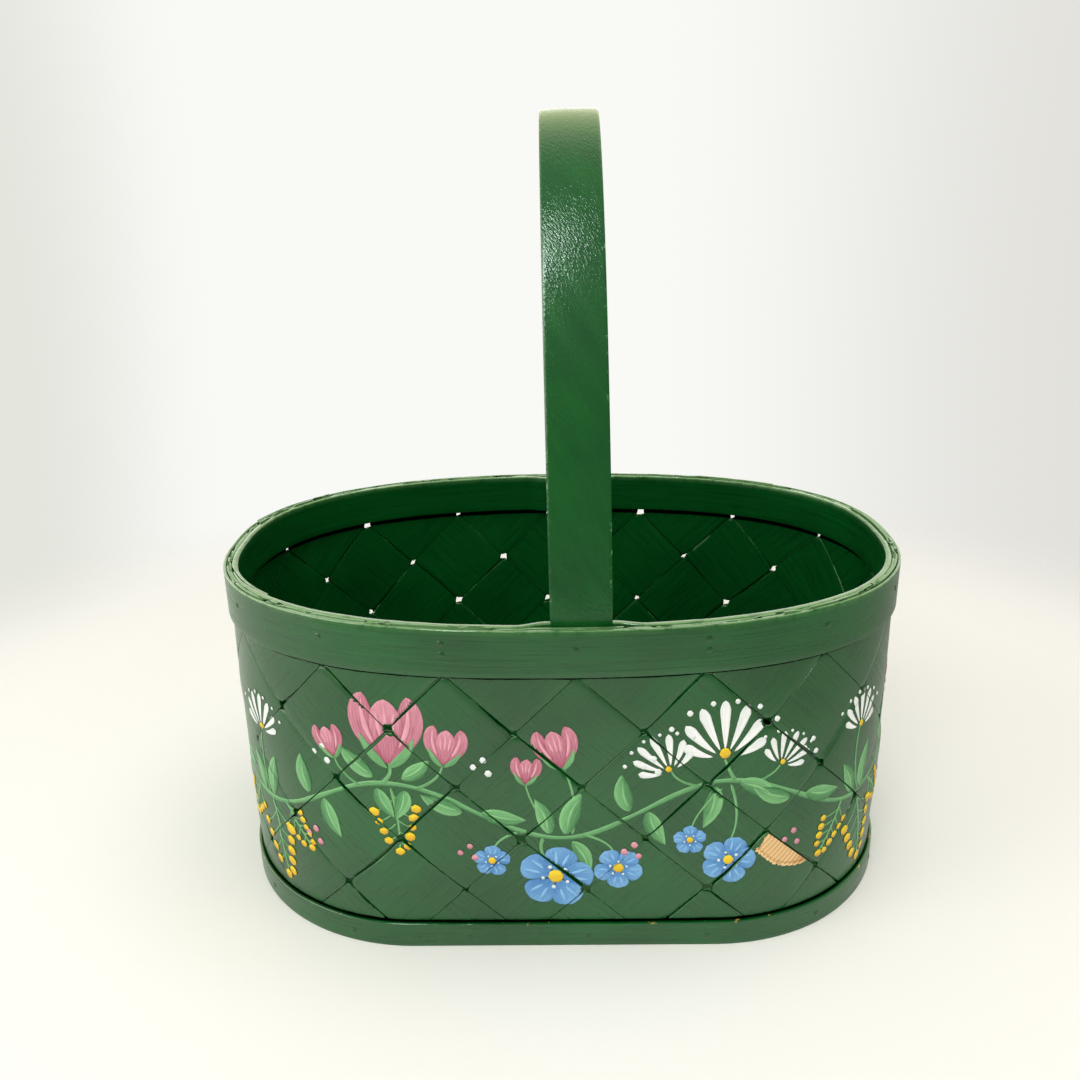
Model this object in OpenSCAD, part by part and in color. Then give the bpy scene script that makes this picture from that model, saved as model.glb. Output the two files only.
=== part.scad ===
// Oval basket of wide wooden splints, plaited on the slant, with nailed bands, a board base and a
// bent hoop handle. Millimetres, +Z up. The origin is in the middle of the base, where it stands.
// X runs along the length, and the front is at -Y.

/* [Rim] */
// Length over the outer rim band
rim_l = 360; // [320:1:400]
// Depth over the outer rim band
rim_w = 240; // [216:1:264]
// Fullness of the rim curve: 2 is an ellipse, more is squarer
rim_fullness = 2.4; // [2.1:0.05:2.8]

/* [Foot] */
// Length over the bottom band
foot_l = 359; // [320:1:390]
// Depth over the bottom band
foot_w = 223; // [212:1:250]
// Corner radius over the bottom band
foot_corner_r = 103; // [80:1:106]

/* [Wall] */
// Height of the wall, floor to rim
wall_h = 181.4; // [160:0.2:210]
// Splints that lean each way, which is also the number of crossings around
columns = 16; // [14:2:20]
// Rows of half crossings between the rim band and the foot
braid_rows = 5; // [4:1:6]
// Height of the lowest row of crossings
low_row_z = 4; // [2:0.5:10]
// Thickness of a splint
splint_t = 1.1; // [0.8:0.1:1.5]
// Gap between neighbouring splints
splint_gap = 2.4; // [1.6:0.1:4]
// How far a splint bows out of the weave in the middle of a crossing
splint_bow = 0.8; // [0:0.1:1.2]
// Height of the splints' lower ends above the floor
splint_lift = 0.6; // [0.2:0.1:2]

/* [Bands] */
// Height of the outer rim band
rim_band_h = 24.2; // [18:0.2:30]
// Thickness of the outer rim band
rim_band_t = 1.6; // [1.2:0.1:2.4]
// Height of the inner rim band
inner_band_h = 22.1; // [16:0.1:28]
// Thickness of the inner rim band
inner_band_t = 3.2; // [2.4:0.1:4]
// Height of the bottom band
foot_band_h = 14; // [11:0.5:18]
// Thickness of the bottom band
foot_band_t = 2; // [1.4:0.1:3]

/* [Handle] */
// Rise of the hoop above the rim
handle_rise = 217; // [160:1:260]
// Width of the handle strip
handle_w = 28; // [20:0.2:34]
// Thickness of the handle strip
handle_t = 3; // [2:0.1:4.5]
// Sideways place of the hoop from the middle
handle_x = 9.2; // [0:0.1:12]
// How far the hoop leans to the left, in degrees
handle_lean = 0.6; // [0:0.1:2]
// Length of the handle's leg below the rim
handle_leg = 32; // [25:0.5:40]
// Fullness of the hoop: 2 is an ellipse, less is more pointed
handle_fullness = 1.8; // [1.6:0.05:2.4]
// Length over which the inner band bends round each edge of the handle
pocket_run = 15; // [10:0.5:30]

/* [Board] */
// Thickness of the base board
board_t = 8; // [6:0.5:9.5]
// Height of the board's underside above the floor
board_lift = 1.5; // [0.5:0.1:3]

/* [Nails] */
// Shank diameter of a nail
nail_d = 1.6; // [1.2:0.1:2]
// Head diameter of a nail
nail_head_d = 4.2; // [3:0.1:6]
// Height of a nail's domed head
nail_head_h = 0.8; // [0.5:0.1:1.2]
// Length of a rim nail under its head
rim_nail_l = 6.4; // [5.2:0.1:6.6]
// Length of a bottom band nail under its head
foot_nail_l = 12; // [8:0.5:18]
// Length of a handle nail under its head
handle_nail_l = 9.6; // [8:0.1:9.8]

/* [Fits] */
// Gap between the two layers of the weave
layer_gap = 0.15; // [0.1:0.05:0.3]
// Gap between the weave and what is nailed to it
fit = 0.2; // [0.15:0.05:0.3]
// Gap under a nail's head
head_seat = 0.05; // [0.02:0.01:0.1]

/* [Hidden] */
function two_digits(i) = str(i < 9 ? "0" : "", i + 1);
RIGHT_NODES = [for (i = [0 : columns - 1]) str("right_splint_", two_digits(i))];
LEFT_NODES = [for (i = [0 : columns - 1]) str("left_splint_", two_digits(i))];

paint_green = "#2f6238";
inner_green = "#1f4a2a";
nail_green = "#28552f";

// The weave is 2 splints deep. Distances across the wall are counted from its middle.
weave_half = splint_t + layer_gap / 2;
skin = weave_half + fit;
nail_r = nail_d / 2;
hole_r = nail_r + fit / 2;
overrun = 1;

// Middle of the weave at the foot, a rounded rectangle, and at the rim, a squared ellipse
foot_half_l = foot_l / 2 - foot_band_t - skin;
foot_half_w = foot_w / 2 - foot_band_t - skin;
foot_r = min(foot_corner_r, foot_w / 2, foot_l / 2) - foot_band_t - skin;
rim_half_l = rim_l / 2 - rim_band_t - skin;
rim_half_w = rim_w / 2 - rim_band_t - skin;

// Each outline is a quarter, from the front middle (share 0) to the right end (share 1)
foot_straight = foot_half_l - foot_r;
foot_arc = foot_r * PI / 2;
foot_end = foot_half_w - foot_r;
function foot_quarter(share) =
    let (s = share * (foot_straight + foot_arc + foot_end),
        turn = (s - foot_straight) / foot_r * 180 / PI)
    s <= foot_straight ? [s, foot_half_w]
    : s <= foot_straight + foot_arc
        ? [foot_straight + foot_r * sin(turn), foot_end + foot_r * cos(turn)]
    : [foot_half_l, foot_end + foot_arc + foot_straight - s];

quarter_turn = 90;
arc_steps = 120;
rim_points = [for (k = [0 : arc_steps])
    let (turn = quarter_turn * k / arc_steps)
    [rim_half_l * pow(sin(turn), 2 / rim_fullness), rim_half_w * pow(cos(turn), 2 / rim_fullness)]];
rim_steps = [for (k = [1 : arc_steps]) norm(rim_points[k] - rim_points[k - 1])];
rim_arc = [for (k = 0, s = 0; k <= arc_steps; s = s + (k < arc_steps ? rim_steps[k] : 0), k = k + 1)
    [s, k]];
rim_quarter_l = rim_arc[arc_steps][0];
function rim_quarter(share) =
    let (at = lookup(share * rim_quarter_l, rim_arc), k = min(floor(at), arc_steps - 1))
    rim_points[k] + (rim_points[k + 1] - rim_points[k]) * (at - k);

// Middle of the weave in plan, col columns round from the front middle and z above the floor.
// Straight lines join the foot and the rim at equal shares of their lengths. The columns start a
// little right of the front middle, and a little more so towards the foot.
shift_share = 0.097;
twist_share = 0.1;
function shift_at(z) = shift_share + twist_share * (1 - z / wall_h);
function wall_mid(col, z) =
    let (turn = (col + shift_at(z)) / columns,
        v = 4 * (turn - floor(turn)),
        k = min(floor(v), 3),
        share = k % 2 == 0 ? v - k : k + 1 - v,
        low = foot_quarter(share),
        plan = low + (rim_quarter(share) - low) * z / wall_h)
    [k < 2 ? plan.x : -plan.x, k == 0 || k == 3 ? -plan.y : plan.y];
near_share = 0.05;
function wall_normal(col, z) =
    let (run = wall_mid(col + near_share, z) - wall_mid(col - near_share, z))
    [run.y, -run.x] / norm(run);
function wall_point(col, z, out) =
    let (plan = wall_mid(col, z) + wall_normal(col, z) * out)
    [plan.x, plan.y, z];

// The lattice: p rises along the right-leaning splints and q falls along the left-leaning ones.
// Whole numbers of p and q are the gaps, and each square between them is one crossing.
row0_z = wall_h - rim_band_h;
row_h = (row0_z - low_row_z) / braid_rows;
column_w = 4 * rim_quarter_l / columns;
splint_pitch = column_w * 2 * row_h / norm([column_w, 2 * row_h]);
edge_share = splint_gap / splint_pitch / 2;
cell_shares = [edge_share, 1 / 3, 2 / 3, 1 - edge_share];
function reach(z) = (z - row0_z) / row_h;
function marks(from, to) = [for (cell = [from : to], m = cell_shares) cell + m];

// A splint bows out in the middle of each crossing, but lies flat at the bands and the handle
function clip(v) = max(0, min(1, v));
function swell(p, q, z) =
    sin(180 * (p - floor(p))) * sin(180 * (q - floor(q)))
    * clip(min(wall_h - handle_leg - z, z - foot_band_h) / row_h);
function weave_point(p, q, layer, face) =
    let (z = row0_z + (p - q) * row_h,
        mid = (splint_t + layer_gap) / 2 + splint_bow * swell(p, q, z))
    wall_point((p + q) / 2, z, layer * mid + face * splint_t / 2);

// Faces of a bent sheet, given as rows x cols x 2 points, outer then inner at each place
function corner(cols, r, c, face) = (r * cols + c) * 2 + face;
function split(a, b, c, d) = [[a, b, d], [b, c, d]];
function sheet_faces(rows, cols) = concat(
    [for (r = [0 : rows - 2], c = [0 : cols - 2]) each split(corner(cols, r, c, 0),
        corner(cols, r + 1, c, 0), corner(cols, r + 1, c + 1, 0), corner(cols, r, c + 1, 0))],
    [for (r = [0 : rows - 2], c = [0 : cols - 2]) each split(corner(cols, r, c, 1),
        corner(cols, r, c + 1, 1), corner(cols, r + 1, c + 1, 1), corner(cols, r + 1, c, 1))],
    [for (r = [0 : rows - 2]) each split(corner(cols, r + 1, 0, 0), corner(cols, r, 0, 0),
        corner(cols, r, 0, 1), corner(cols, r + 1, 0, 1))],
    [for (r = [0 : rows - 2]) each split(corner(cols, r, cols - 1, 0),
        corner(cols, r + 1, cols - 1, 0), corner(cols, r + 1, cols - 1, 1),
        corner(cols, r, cols - 1, 1))],
    [for (c = [0 : cols - 2]) each split(corner(cols, 0, c, 0), corner(cols, 0, c + 1, 0),
        corner(cols, 0, c + 1, 1), corner(cols, 0, c, 1))],
    [for (c = [0 : cols - 2]) each split(corner(cols, rows - 1, c + 1, 0),
        corner(cols, rows - 1, c, 0), corner(cols, rows - 1, c, 1),
        corner(cols, rows - 1, c + 1, 1))]);
function turned(faces) = [for (f = faces) [f[2], f[1], f[0]]];

// Nails, each [col, z]. Those beside the front middle are in pairs.
rim_nail_z = wall_h - rim_band_h * 0.4;
pair_half = nail_head_d * 0.65;
paired = [1, columns - 1];
rim_nails = [for (col = [0 : columns - 1])
    each len(search(col, paired)) > 0
        ? [[col, rim_nail_z - pair_half], [col, rim_nail_z + pair_half]] : [[col, rim_nail_z]]];
foot_nails = [for (col = [0 : columns - 1]) [col, board_lift + board_t / 2]];
handle_nail_x = handle_x + handle_w / 5;
leg_shift = shift_at(wall_h - inner_band_h / 2);
leg_cols = [handle_nail_x / column_w - leg_shift, columns / 2 - handle_nail_x / column_w - leg_shift];
handle_nails = [for (col = leg_cols, side = [-1, 1])
    [col, wall_h - inner_band_h / 2 + side * inner_band_h / 4]];

// The bands end in laps, thinned to tip_share of their thickness. A lap starts at a facet line.
facets = 6;
lap_facets = 4;
lap_cols = lap_facets / facets;
tip_share = 0.35;
outer_lap_col = 10 + 4 / facets;
inner_lap_col = 12 + 4 / facets;
foot_lap_col = 5 + 4 / facets;
function lap_step(t) = t * tip_share + fit;
function lap_rise(col, lap_col, t) =
    let (past = (col - lap_col) - columns * floor((col - lap_col) / columns))
    past <= lap_cols ? lap_step(t) * past / lap_cols : 0;
function band_near(col, lap_col, t) =
    let (past = col - lap_col - columns)
    past <= 0 ? lap_step(t) * clip(1 + past * facets)
    : lap_step(t) + (t - t * tip_share) * past / lap_cols;
function band_far(col, lap_col, t) =
    let (past = col - lap_col)
    past < lap_cols ? t * tip_share + (t - t * tip_share) * past / lap_cols
    : t + lap_step(t) * clip((past - columns) / lap_cols);

// A leg is flat, so the curve of the wall leaves its edges nearest to the weave
function leg_mid(z) = min([for (side = [-1, 1])
    -wall_mid((handle_x + side * handle_w / 2) / column_w - shift_at(z), z).y]);
pocket_depth = handle_t + fit + rim_half_w - leg_mid(wall_h);

// The inner band steps in over the handle's legs
function pocket(col, z) =
    let (away = abs(wall_mid(col, z).x - handle_x) - handle_w / 2 - handle_t / 2,
        near = clip(1 - away / pocket_run))
    pocket_depth * near * near * (3 - 2 * near);
function by_handle(col) =
    abs(wall_mid(col, wall_h).x - handle_x) < handle_w / 2 + pocket_run + column_w / facets;
function stations(lap_col, fine) =
    [for (k = [0 : columns * facets + lap_facets])
        let (col = lap_col + k / facets)
        each fine && by_handle(col + 1 / facets / 2) && k < columns * facets + lap_facets
            ? [for (part = [0 : 3]) col + part / 4 / facets] : [col]];

// The handle's centre line on one side, from the foot of the leg to the top, as [y, z]
function leg_y(z) = leg_mid(z) - skin - handle_t / 2;
lean = (leg_y(wall_h) - leg_y(0)) / wall_h;
hoop_steps = 24;
function hoop_point(turn) =
    let (up = pow(sin(turn), 2 / handle_fullness),
        out = pow(cos(turn), 2 / handle_fullness))
    [leg_y(wall_h) * out + lean * handle_rise * up * pow(1 - up, 2), wall_h + handle_rise * up];
half_hoop = concat([[leg_y(wall_h - handle_leg), wall_h - handle_leg]],
    [for (k = [0 : hoop_steps]) hoop_point(quarter_turn * k / hoop_steps)]);
hoop = concat([for (pt = half_hoop) [-pt.x, pt.y]],
    [for (k = [hoop_steps : -1 : 0]) half_hoop[k]]);
function hoop_normal(k) =
    let (run = hoop[min(k + 1, len(hoop) - 1)] - hoop[max(k - 1, 0)])
    [-run.y, run.x] / norm(run);

// Puts children on the wall with their +Z outwards
module on_wall(col, z, out) {
    at = wall_point(col, z, out);
    n = wall_normal(col, z);
    slope = (wall_mid(col, wall_h) - wall_mid(col, 0)) * n / wall_h;
    translate(at) rotate([0, 90 + atan(slope), atan2(n.y, n.x)]) children();
}

module nail(length) {
    head_r = nail_head_d / 2;
    rotate_extrude($fn = 24) polygon([[0, nail_head_h], [head_r / 2, nail_head_h * 0.85],
        [head_r * 0.85, nail_head_h / 2], [head_r, 0], [nail_r, 0], [nail_r, nail_d - length],
        [0, -length]]);
}

module nail_hole(length) {
    translate([0, 0, -length - fit]) cylinder(h = length + fit + overrun, r = hole_r, $fn = 24);
}

module place_rim_nails(nails) {
    for (n = nails)
        on_wall(n[0], n[1], skin + rim_band_t + lap_rise(n[0], outer_lap_col, rim_band_t) + head_seat)
            children();
}

module place_foot_nails(nails) {
    for (n = nails)
        on_wall(n[0], n[1], skin + foot_band_t + lap_rise(n[0], foot_lap_col, foot_band_t) + head_seat)
            children();
}

module place_handle_nails(nails) {
    for (n = nails)
        on_wall(n[0], n[1], -skin - pocket_depth - inner_band_t - head_seat)
            rotate([180, 0, 0]) children();
}

// Nails that meet the splint whose cell starts at lattice line i; lean 1 is right and -1 is left
function line_of(nail, leans) = nail[0] - leans * reach(nail[1]) / 2;
function meets(nail, i, leans) =
    let (margin = 2 * hole_r / splint_pitch,
        off = line_of(nail, leans) - i,
        past = off + margin - columns * floor((off + margin) / columns))
    past < 1 + 2 * margin;

module splint(i, leans, points, faces) {
    span = 2 * max(rim_l, foot_l);
    difference() {
        intersection() {
            polyhedron(points, faces);
            translate([-span / 2, -span / 2, splint_lift]) cube([span, span, wall_h - splint_lift]);
        }
        place_rim_nails([for (n = rim_nails) if (meets(n, i, leans)) n]) nail_hole(rim_nail_l);
        place_foot_nails([for (n = foot_nails) if (meets(n, i, leans)) n]) nail_hole(foot_nail_l);
        place_handle_nails([for (n = handle_nails) if (meets(n, i, leans)) n])
            nail_hole(handle_nail_l);
    }
}

module right_splint(i) {
    along = marks(i + floor(reach(splint_lift)), i + floor(1 + reach(wall_h)));
    points = [for (p = along, m = cell_shares, face = [1, -1])
        weave_point(p, i + m, (i - floor(p)) % 2 == 0 ? 1 : -1, face)];
    color(paint_green) splint(i, 1, points, sheet_faces(len(along), len(cell_shares)));
}

module left_splint(i) {
    along = marks(i + floor(-reach(wall_h)), i + floor(1 - reach(splint_lift)));
    points = [for (q = along, m = cell_shares, face = [1, -1])
        weave_point(i + m, q, (i - floor(q)) % 2 == 0 ? -1 : 1, face)];
    color(paint_green) splint(i, -1, points, turned(sheet_faces(len(along), len(cell_shares))));
}

// The board's edge is straight, so it clears the wall where that is tightest
function board_edge(col) =
    let (low = wall_point(col, board_lift, -skin),
        high = wall_point(col, board_lift + board_t, -skin),
        tight = norm([low.x, low.y]) < norm([high.x, high.y]) ? low : high)
    [tight.x, tight.y];

module base_board() {
    color(inner_green) difference() {
        translate([0, 0, board_lift]) linear_extrude(board_t)
            polygon([for (k = [0 : columns * facets - 1]) board_edge(k / facets)]);
        place_foot_nails(foot_nails) nail_hole(foot_nail_l);
    }
}

module bottom_band() {
    cols = stations(foot_lap_col, false);
    points = [for (col = cols, z = [foot_band_h, 0])
        each [wall_point(col, z, skin + band_far(col, foot_lap_col, foot_band_t)),
            wall_point(col, z, skin + band_near(col, foot_lap_col, foot_band_t))]];
    color(paint_green) difference() {
        polyhedron(points, sheet_faces(len(cols), 2));
        place_foot_nails(foot_nails) nail_hole(foot_nail_l);
    }
}

module outer_rim_band() {
    cols = stations(outer_lap_col, false);
    points = [for (col = cols, z = [wall_h, wall_h - rim_band_h])
        each [wall_point(col, z, skin + band_far(col, outer_lap_col, rim_band_t)),
            wall_point(col, z, skin + band_near(col, outer_lap_col, rim_band_t))]];
    color(paint_green) difference() {
        polyhedron(points, sheet_faces(len(cols), 2));
        place_rim_nails(rim_nails) nail_hole(rim_nail_l);
        place_handle_nails(handle_nails) nail_hole(handle_nail_l);
    }
}

module inner_rim_band() {
    cols = stations(inner_lap_col, true);
    points = [for (col = cols, z = [wall_h, wall_h - inner_band_h])
        each [wall_point(col, z, -skin - pocket(col, z) - band_near(col, inner_lap_col, inner_band_t)),
            wall_point(col, z, -skin - pocket(col, z) - band_far(col, inner_lap_col, inner_band_t))]];
    color(inner_green) difference() {
        polyhedron(points, sheet_faces(len(cols), 2));
        place_rim_nails(rim_nails) nail_hole(rim_nail_l);
        place_handle_nails(handle_nails) nail_hole(handle_nail_l);
    }
}

module handle() {
    outline = concat([for (k = [0 : len(hoop) - 1]) hoop[k] + hoop_normal(k) * handle_t / 2],
        [for (k = [len(hoop) - 1 : -1 : 0]) hoop[k] - hoop_normal(k) * handle_t / 2]);
    color(paint_green) difference() {
        translate([handle_x, 0, wall_h]) rotate([0, -handle_lean, 0])
            translate([-handle_w / 2, 0, -wall_h]) rotate([90, 0, 90])
                linear_extrude(handle_w) polygon(outline);
        place_rim_nails(rim_nails) nail_hole(rim_nail_l);
        place_handle_nails(handle_nails) nail_hole(handle_nail_l);
    }
}

module rim_nails() { color(nail_green) place_rim_nails(rim_nails) nail(rim_nail_l); }

module bottom_nails() { color(nail_green) place_foot_nails(foot_nails) nail(foot_nail_l); }

module handle_nails() { color(nail_green) place_handle_nails(handle_nails) nail(handle_nail_l); }

for (i = [0 : columns - 1]) right_splint(i);
for (i = [0 : columns - 1]) left_splint(i);
base_board();
bottom_band();
outer_rim_band();
inner_rim_band();
handle();
rim_nails();
handle_nails();
bottom_nails();
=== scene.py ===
# Oval splint basket in green paint, dressed over its CAD frame. Metres, +Z up, front at -Y.
import math
import random
from functools import partial
import bmesh
import bpy
import numpy as np
from mathutils import Matrix, Vector
from mathutils.bvhtree import BVHTree


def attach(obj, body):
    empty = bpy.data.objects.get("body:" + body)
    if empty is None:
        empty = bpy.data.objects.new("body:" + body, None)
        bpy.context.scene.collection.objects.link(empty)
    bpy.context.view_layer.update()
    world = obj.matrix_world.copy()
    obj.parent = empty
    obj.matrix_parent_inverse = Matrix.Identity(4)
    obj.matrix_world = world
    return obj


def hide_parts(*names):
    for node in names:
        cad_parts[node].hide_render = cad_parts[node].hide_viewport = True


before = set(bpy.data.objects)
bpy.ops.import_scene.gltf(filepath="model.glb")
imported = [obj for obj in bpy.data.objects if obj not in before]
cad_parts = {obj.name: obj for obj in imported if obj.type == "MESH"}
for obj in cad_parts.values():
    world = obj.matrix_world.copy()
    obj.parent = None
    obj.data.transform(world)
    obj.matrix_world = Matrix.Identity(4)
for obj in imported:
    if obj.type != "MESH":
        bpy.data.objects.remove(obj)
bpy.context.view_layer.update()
mm = 0.001
smooth = {"interpolation_type": "SMOOTHSTEP"}
print("frame loaded:", len(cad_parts), "nodes")


def feed(tree, node, values):  # sets a node's inputs, or links them to other nodes
    for key, value in values.items() if isinstance(values, dict) else enumerate(values):
        if isinstance(value, bpy.types.Node):
            value = next(s for s in value.outputs if s.enabled)
        if isinstance(value, bpy.types.NodeSocket):
            tree.links.new(value, node.inputs[key])
        elif value is not None:
            node.inputs[key].default_value = value


def addNode(tree, kind, *values, **settings):  # a kind in capitals is an operation of the Math node
    if kind.isupper():
        kind, settings = "Math", {**settings, "operation": kind}
    node = tree.nodes.new(kind if "Node" in kind else "ShaderNode" + kind)
    for name, value in settings.items():
        setattr(node, name, value)
    feed(tree, node, values[0] if values and isinstance(values[0], dict) else values)
    return node


def paintColour(code):  # sRGB hex to linear
    parts = [int(code[k:k + 2], 16) / 255 for k in (1, 3, 5)]
    return [p / 12.92 if p <= 0.04045 else ((p + 0.055) / 1.055) ** 2.4 for p in parts] + [1.0]


def addObject(name, data):
    obj = bpy.data.objects.new(name, data)
    bpy.context.scene.collection.objects.link(obj)
    return obj


def addMesh(name, verts, faces=()):
    mesh = bpy.data.meshes.new(name)
    mesh.from_pydata(verts, [], faces)
    return mesh


# The wall: straight lines join the foot line and the rim line at equal shares of their lengths.
# Columns count round it from the front middle, and depth is outwards from the middle of the weave.
wall = {"footHalfLength": 176.125 * mm, "footHalfWidth": 108.125 * mm, "footCorner": 99.625 * mm,
        "rimHalfLength": 177.025 * mm, "rimHalfWidth": 117.025 * mm, "rimFullness": 2.4,
        "height": 181.4 * mm, "columns": 16, "shift": 0.097, "twist": 0.1, "topRow": 157.2 * mm,
        "rowHeight": 30.64 * mm, "skin": 1.375 * mm, "gapShare": 0.028, "legFoot": 149.4 * mm,
        "bandTop": 14 * mm, "splintPitch": 42.98 * mm, "columnWidth": 60.3 * mm, "legMiddle": 9.2 * mm}


def columnShift(height):  # the columns start a little right of the middle, more so at the foot
    return wall["shift"] + wall["twist"] * (1 - height / wall["height"])


def allRound(quarter):  # a quarter from the front middle to the right end, carried on counter-clockwise
    front = [(x, -y) for x, y in quarter]
    half = front + [(x, y) for x, y in reversed(quarter)][1:]
    return np.array(half + [(-x, y) for x, y in reversed(half)][1:-1])


turns = [math.pi / 2 * k / 120 for k in range(121)]
power = 2 / wall["rimFullness"]
rimQuarter = [(wall["rimHalfLength"] * math.sin(t) ** power,
               wall["rimHalfWidth"] * max(math.cos(t), 0) ** power) for t in turns]
footRun = wall["footHalfLength"] - wall["footCorner"]
footEnd = wall["footHalfWidth"] - wall["footCorner"]
footQuarter = [(footRun * k / 20, wall["footHalfWidth"]) for k in range(20)]
footQuarter += [(footRun + wall["footCorner"] * math.sin(t), footEnd + wall["footCorner"] * math.cos(t))
                for t in turns]
footQuarter += [(wall["footHalfLength"], footEnd * (1 - k / 4)) for k in range(1, 5)]


def lengthTable(path):
    closed = np.vstack([path, path[:1]])
    steps = np.linalg.norm(np.diff(closed, axis=0), axis=1)
    return closed, np.concatenate([[0], np.cumsum(steps)]), steps.sum()


footTable, rimTable = lengthTable(allRound(footQuarter)), lengthTable(allRound(rimQuarter))


def wallMiddle(column, height):
    turn = ((column + columnShift(height)) / wall["columns"]) % 1
    low, high = [np.stack([np.interp(turn * total, run, line[:, k]) for k in (0, 1)], -1)
                 for line, run, total in (footTable, rimTable)]
    return low + (high - low) * (height / wall["height"])[..., None]


def wallPlaces(column, height, depth):  # places and outward normals for arrays of flat places
    run = wallMiddle(column + 0.05, height) - wallMiddle(column - 0.05, height)
    run /= np.linalg.norm(run, axis=-1, keepdims=True)
    outward = np.stack([run[..., 1], -run[..., 0], np.zeros(run.shape[:-1])], -1)
    middle = np.concatenate([wallMiddle(column, height), height[..., None]], -1)
    return middle + outward * depth[..., None], outward


def lineObject(name, points, closed):
    curve = bpy.data.curves.new(name, "CURVE")
    curve.dimensions = "3D"
    spline = curve.splines.new("POLY")
    spline.points.add(len(points) - 1)
    spline.points.foreach_set("co", np.array([(*p, 1.0) for p in points]).ravel())
    spline.use_cyclic_u = closed
    return addObject(name, curve)


footLine = lineObject("footLine", [(x, y, 0) for x, y in allRound(footQuarter)], True)
rimLine = lineObject("rimLine", [(x, y, 0) for x, y in allRound(rimQuarter)], True)


def buildWallPlace():  # the wall as a node group: flat place in, real place and outward direction out
    tree = bpy.data.node_groups.new("wallPlace", "GeometryNodeTree")
    for label in ("Column", "Depth", "Height"):
        tree.interface.new_socket(label, in_out="INPUT", socket_type="NodeSocketFloat")
    for label in ("Position", "Outward"):
        tree.interface.new_socket(label, in_out="OUTPUT", socket_type="NodeSocketVector")
    node, given = partial(addNode, tree), tree.nodes.new("NodeGroupInput").outputs
    share = node("DIVIDE", given["Height"], wall["height"])
    turn = node("ADD", given["Column"], node("MULTIPLY_ADD", share, -wall["twist"], columnShift(0)))
    turn = node("FRACT", node("DIVIDE", turn, wall["columns"]))
    places, runs = {0: share}, {0: share}
    for key, line, table in ((4, footLine, footTable), (5, rimLine, rimTable)):
        info = node("GeometryNodeObjectInfo", {"Object": line}).outputs
        sample = node("GeometryNodeSampleCurve", {"Curves": info["Geometry"], "Factor": turn},
                      mode="FACTOR").outputs
        places[key] = sample["Position"]
        runs[key] = node("VectorMath", {0: sample["Tangent"], "Scale": float(table[2])}, operation="SCALE")
    plan, run = [node("Mix", ends, data_type="VECTOR", clamp_factor=False) for ends in (places, runs)]
    outward = node("VectorMath", run, (0, 0, 1), operation="CROSS_PRODUCT")
    outward = node("VectorMath", outward, operation="NORMALIZE")
    push = node("VectorMath", {0: outward, "Scale": given["Depth"]}, operation="SCALE")
    place = node("VectorMath", plan, push, operation="ADD")
    place = node("VectorMath", place, node("CombineXYZ", {"Z": given["Height"]}), operation="ADD")
    feed(tree, tree.nodes.new("NodeGroupOutput"), {"Position": place, "Outward": outward})
    return tree


wallPlace = buildWallPlace()


def startTree(name, sizes):  # a tree whose inputs are the named sizes
    tree = bpy.data.node_groups.new(name, "GeometryNodeTree")
    tree.interface.new_socket("Geometry", in_out="INPUT", socket_type="NodeSocketGeometry")
    for label, value in sizes.items():
        tree.interface.new_socket(label, in_out="INPUT", socket_type="NodeSocketFloat").default_value = value
    tree.interface.new_socket("Material", in_out="INPUT", socket_type="NodeSocketMaterial")
    tree.interface.new_socket("Geometry", in_out="OUTPUT", socket_type="NodeSocketGeometry")
    node = partial(addNode, tree)
    here = node("SeparateXYZ", node("GeometryNodeInputPosition")).outputs
    return tree, node, tree.nodes.new("NodeGroupInput").outputs, here


def finishTree(tree, given, shape, place=None, notes={}, sharpAngle=0.9):
    # the notes for its finish, its real place, soft faces with crisp edges, then the finish
    node = partial(addNode, tree)
    for name, value in notes.items():
        shape = node("GeometryNodeStoreNamedAttribute", {"Geometry": shape, "Name": name, "Value": value},
                     data_type="FLOAT_VECTOR" if name == "grain" else "FLOAT")
    if place:
        shape = node("GeometryNodeSetPosition", {"Geometry": shape, "Position": place})
    shape = node("GeometryNodeMergeByDistance", {"Geometry": shape, "Distance": 0.02 * mm})
    shape = node("GeometryNodeSetShadeSmooth", {"Geometry": shape, "Shade Smooth": True})
    angle = node("GeometryNodeInputMeshEdgeAngle").outputs["Unsigned Angle"]
    crisp = node("FunctionNodeCompare", angle, sharpAngle, data_type="FLOAT", operation="GREATER_THAN")
    shape = node("GeometryNodeSetShadeSmooth",
                 {"Geometry": shape, "Selection": crisp, "Shade Smooth": False}, domain="EDGE")
    shape = node("GeometryNodeRealizeInstances", {"Geometry": shape})
    shape = node("GeometryNodeSetMaterial", {"Geometry": shape, "Material": given["Material"]})
    feed(tree, tree.nodes.new("NodeGroupOutput"), {"Geometry": shape})
    return tree


def growPiece(name, tree, values, material, mesh=None):  # runs a tree and keeps the plain mesh
    obj = addObject(name, mesh or bpy.data.meshes.new(name))
    growth = obj.modifiers.new("Growth", "NODES")
    growth.node_group = tree
    values = {**values, "Material": material}
    for item in tree.interface.items_tree:
        if item.in_out == "INPUT" and item.name in values:
            growth[item.identifier] = values[item.name]
    view = bpy.context.evaluated_depsgraph_get()
    grown = bpy.data.meshes.new_from_object(obj.evaluated_get(view), preserve_all_data_layers=True,
                                            depsgraph=view)
    obj.modifiers.remove(growth)
    obj.data = grown
    return obj


def seat(obj, slot, *nodes):  # rides on the basket and stands for its CAD nodes, which it hides; the slot is not used
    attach(obj, "root")
    if nodes:
        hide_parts(*nodes)
    return obj


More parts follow.
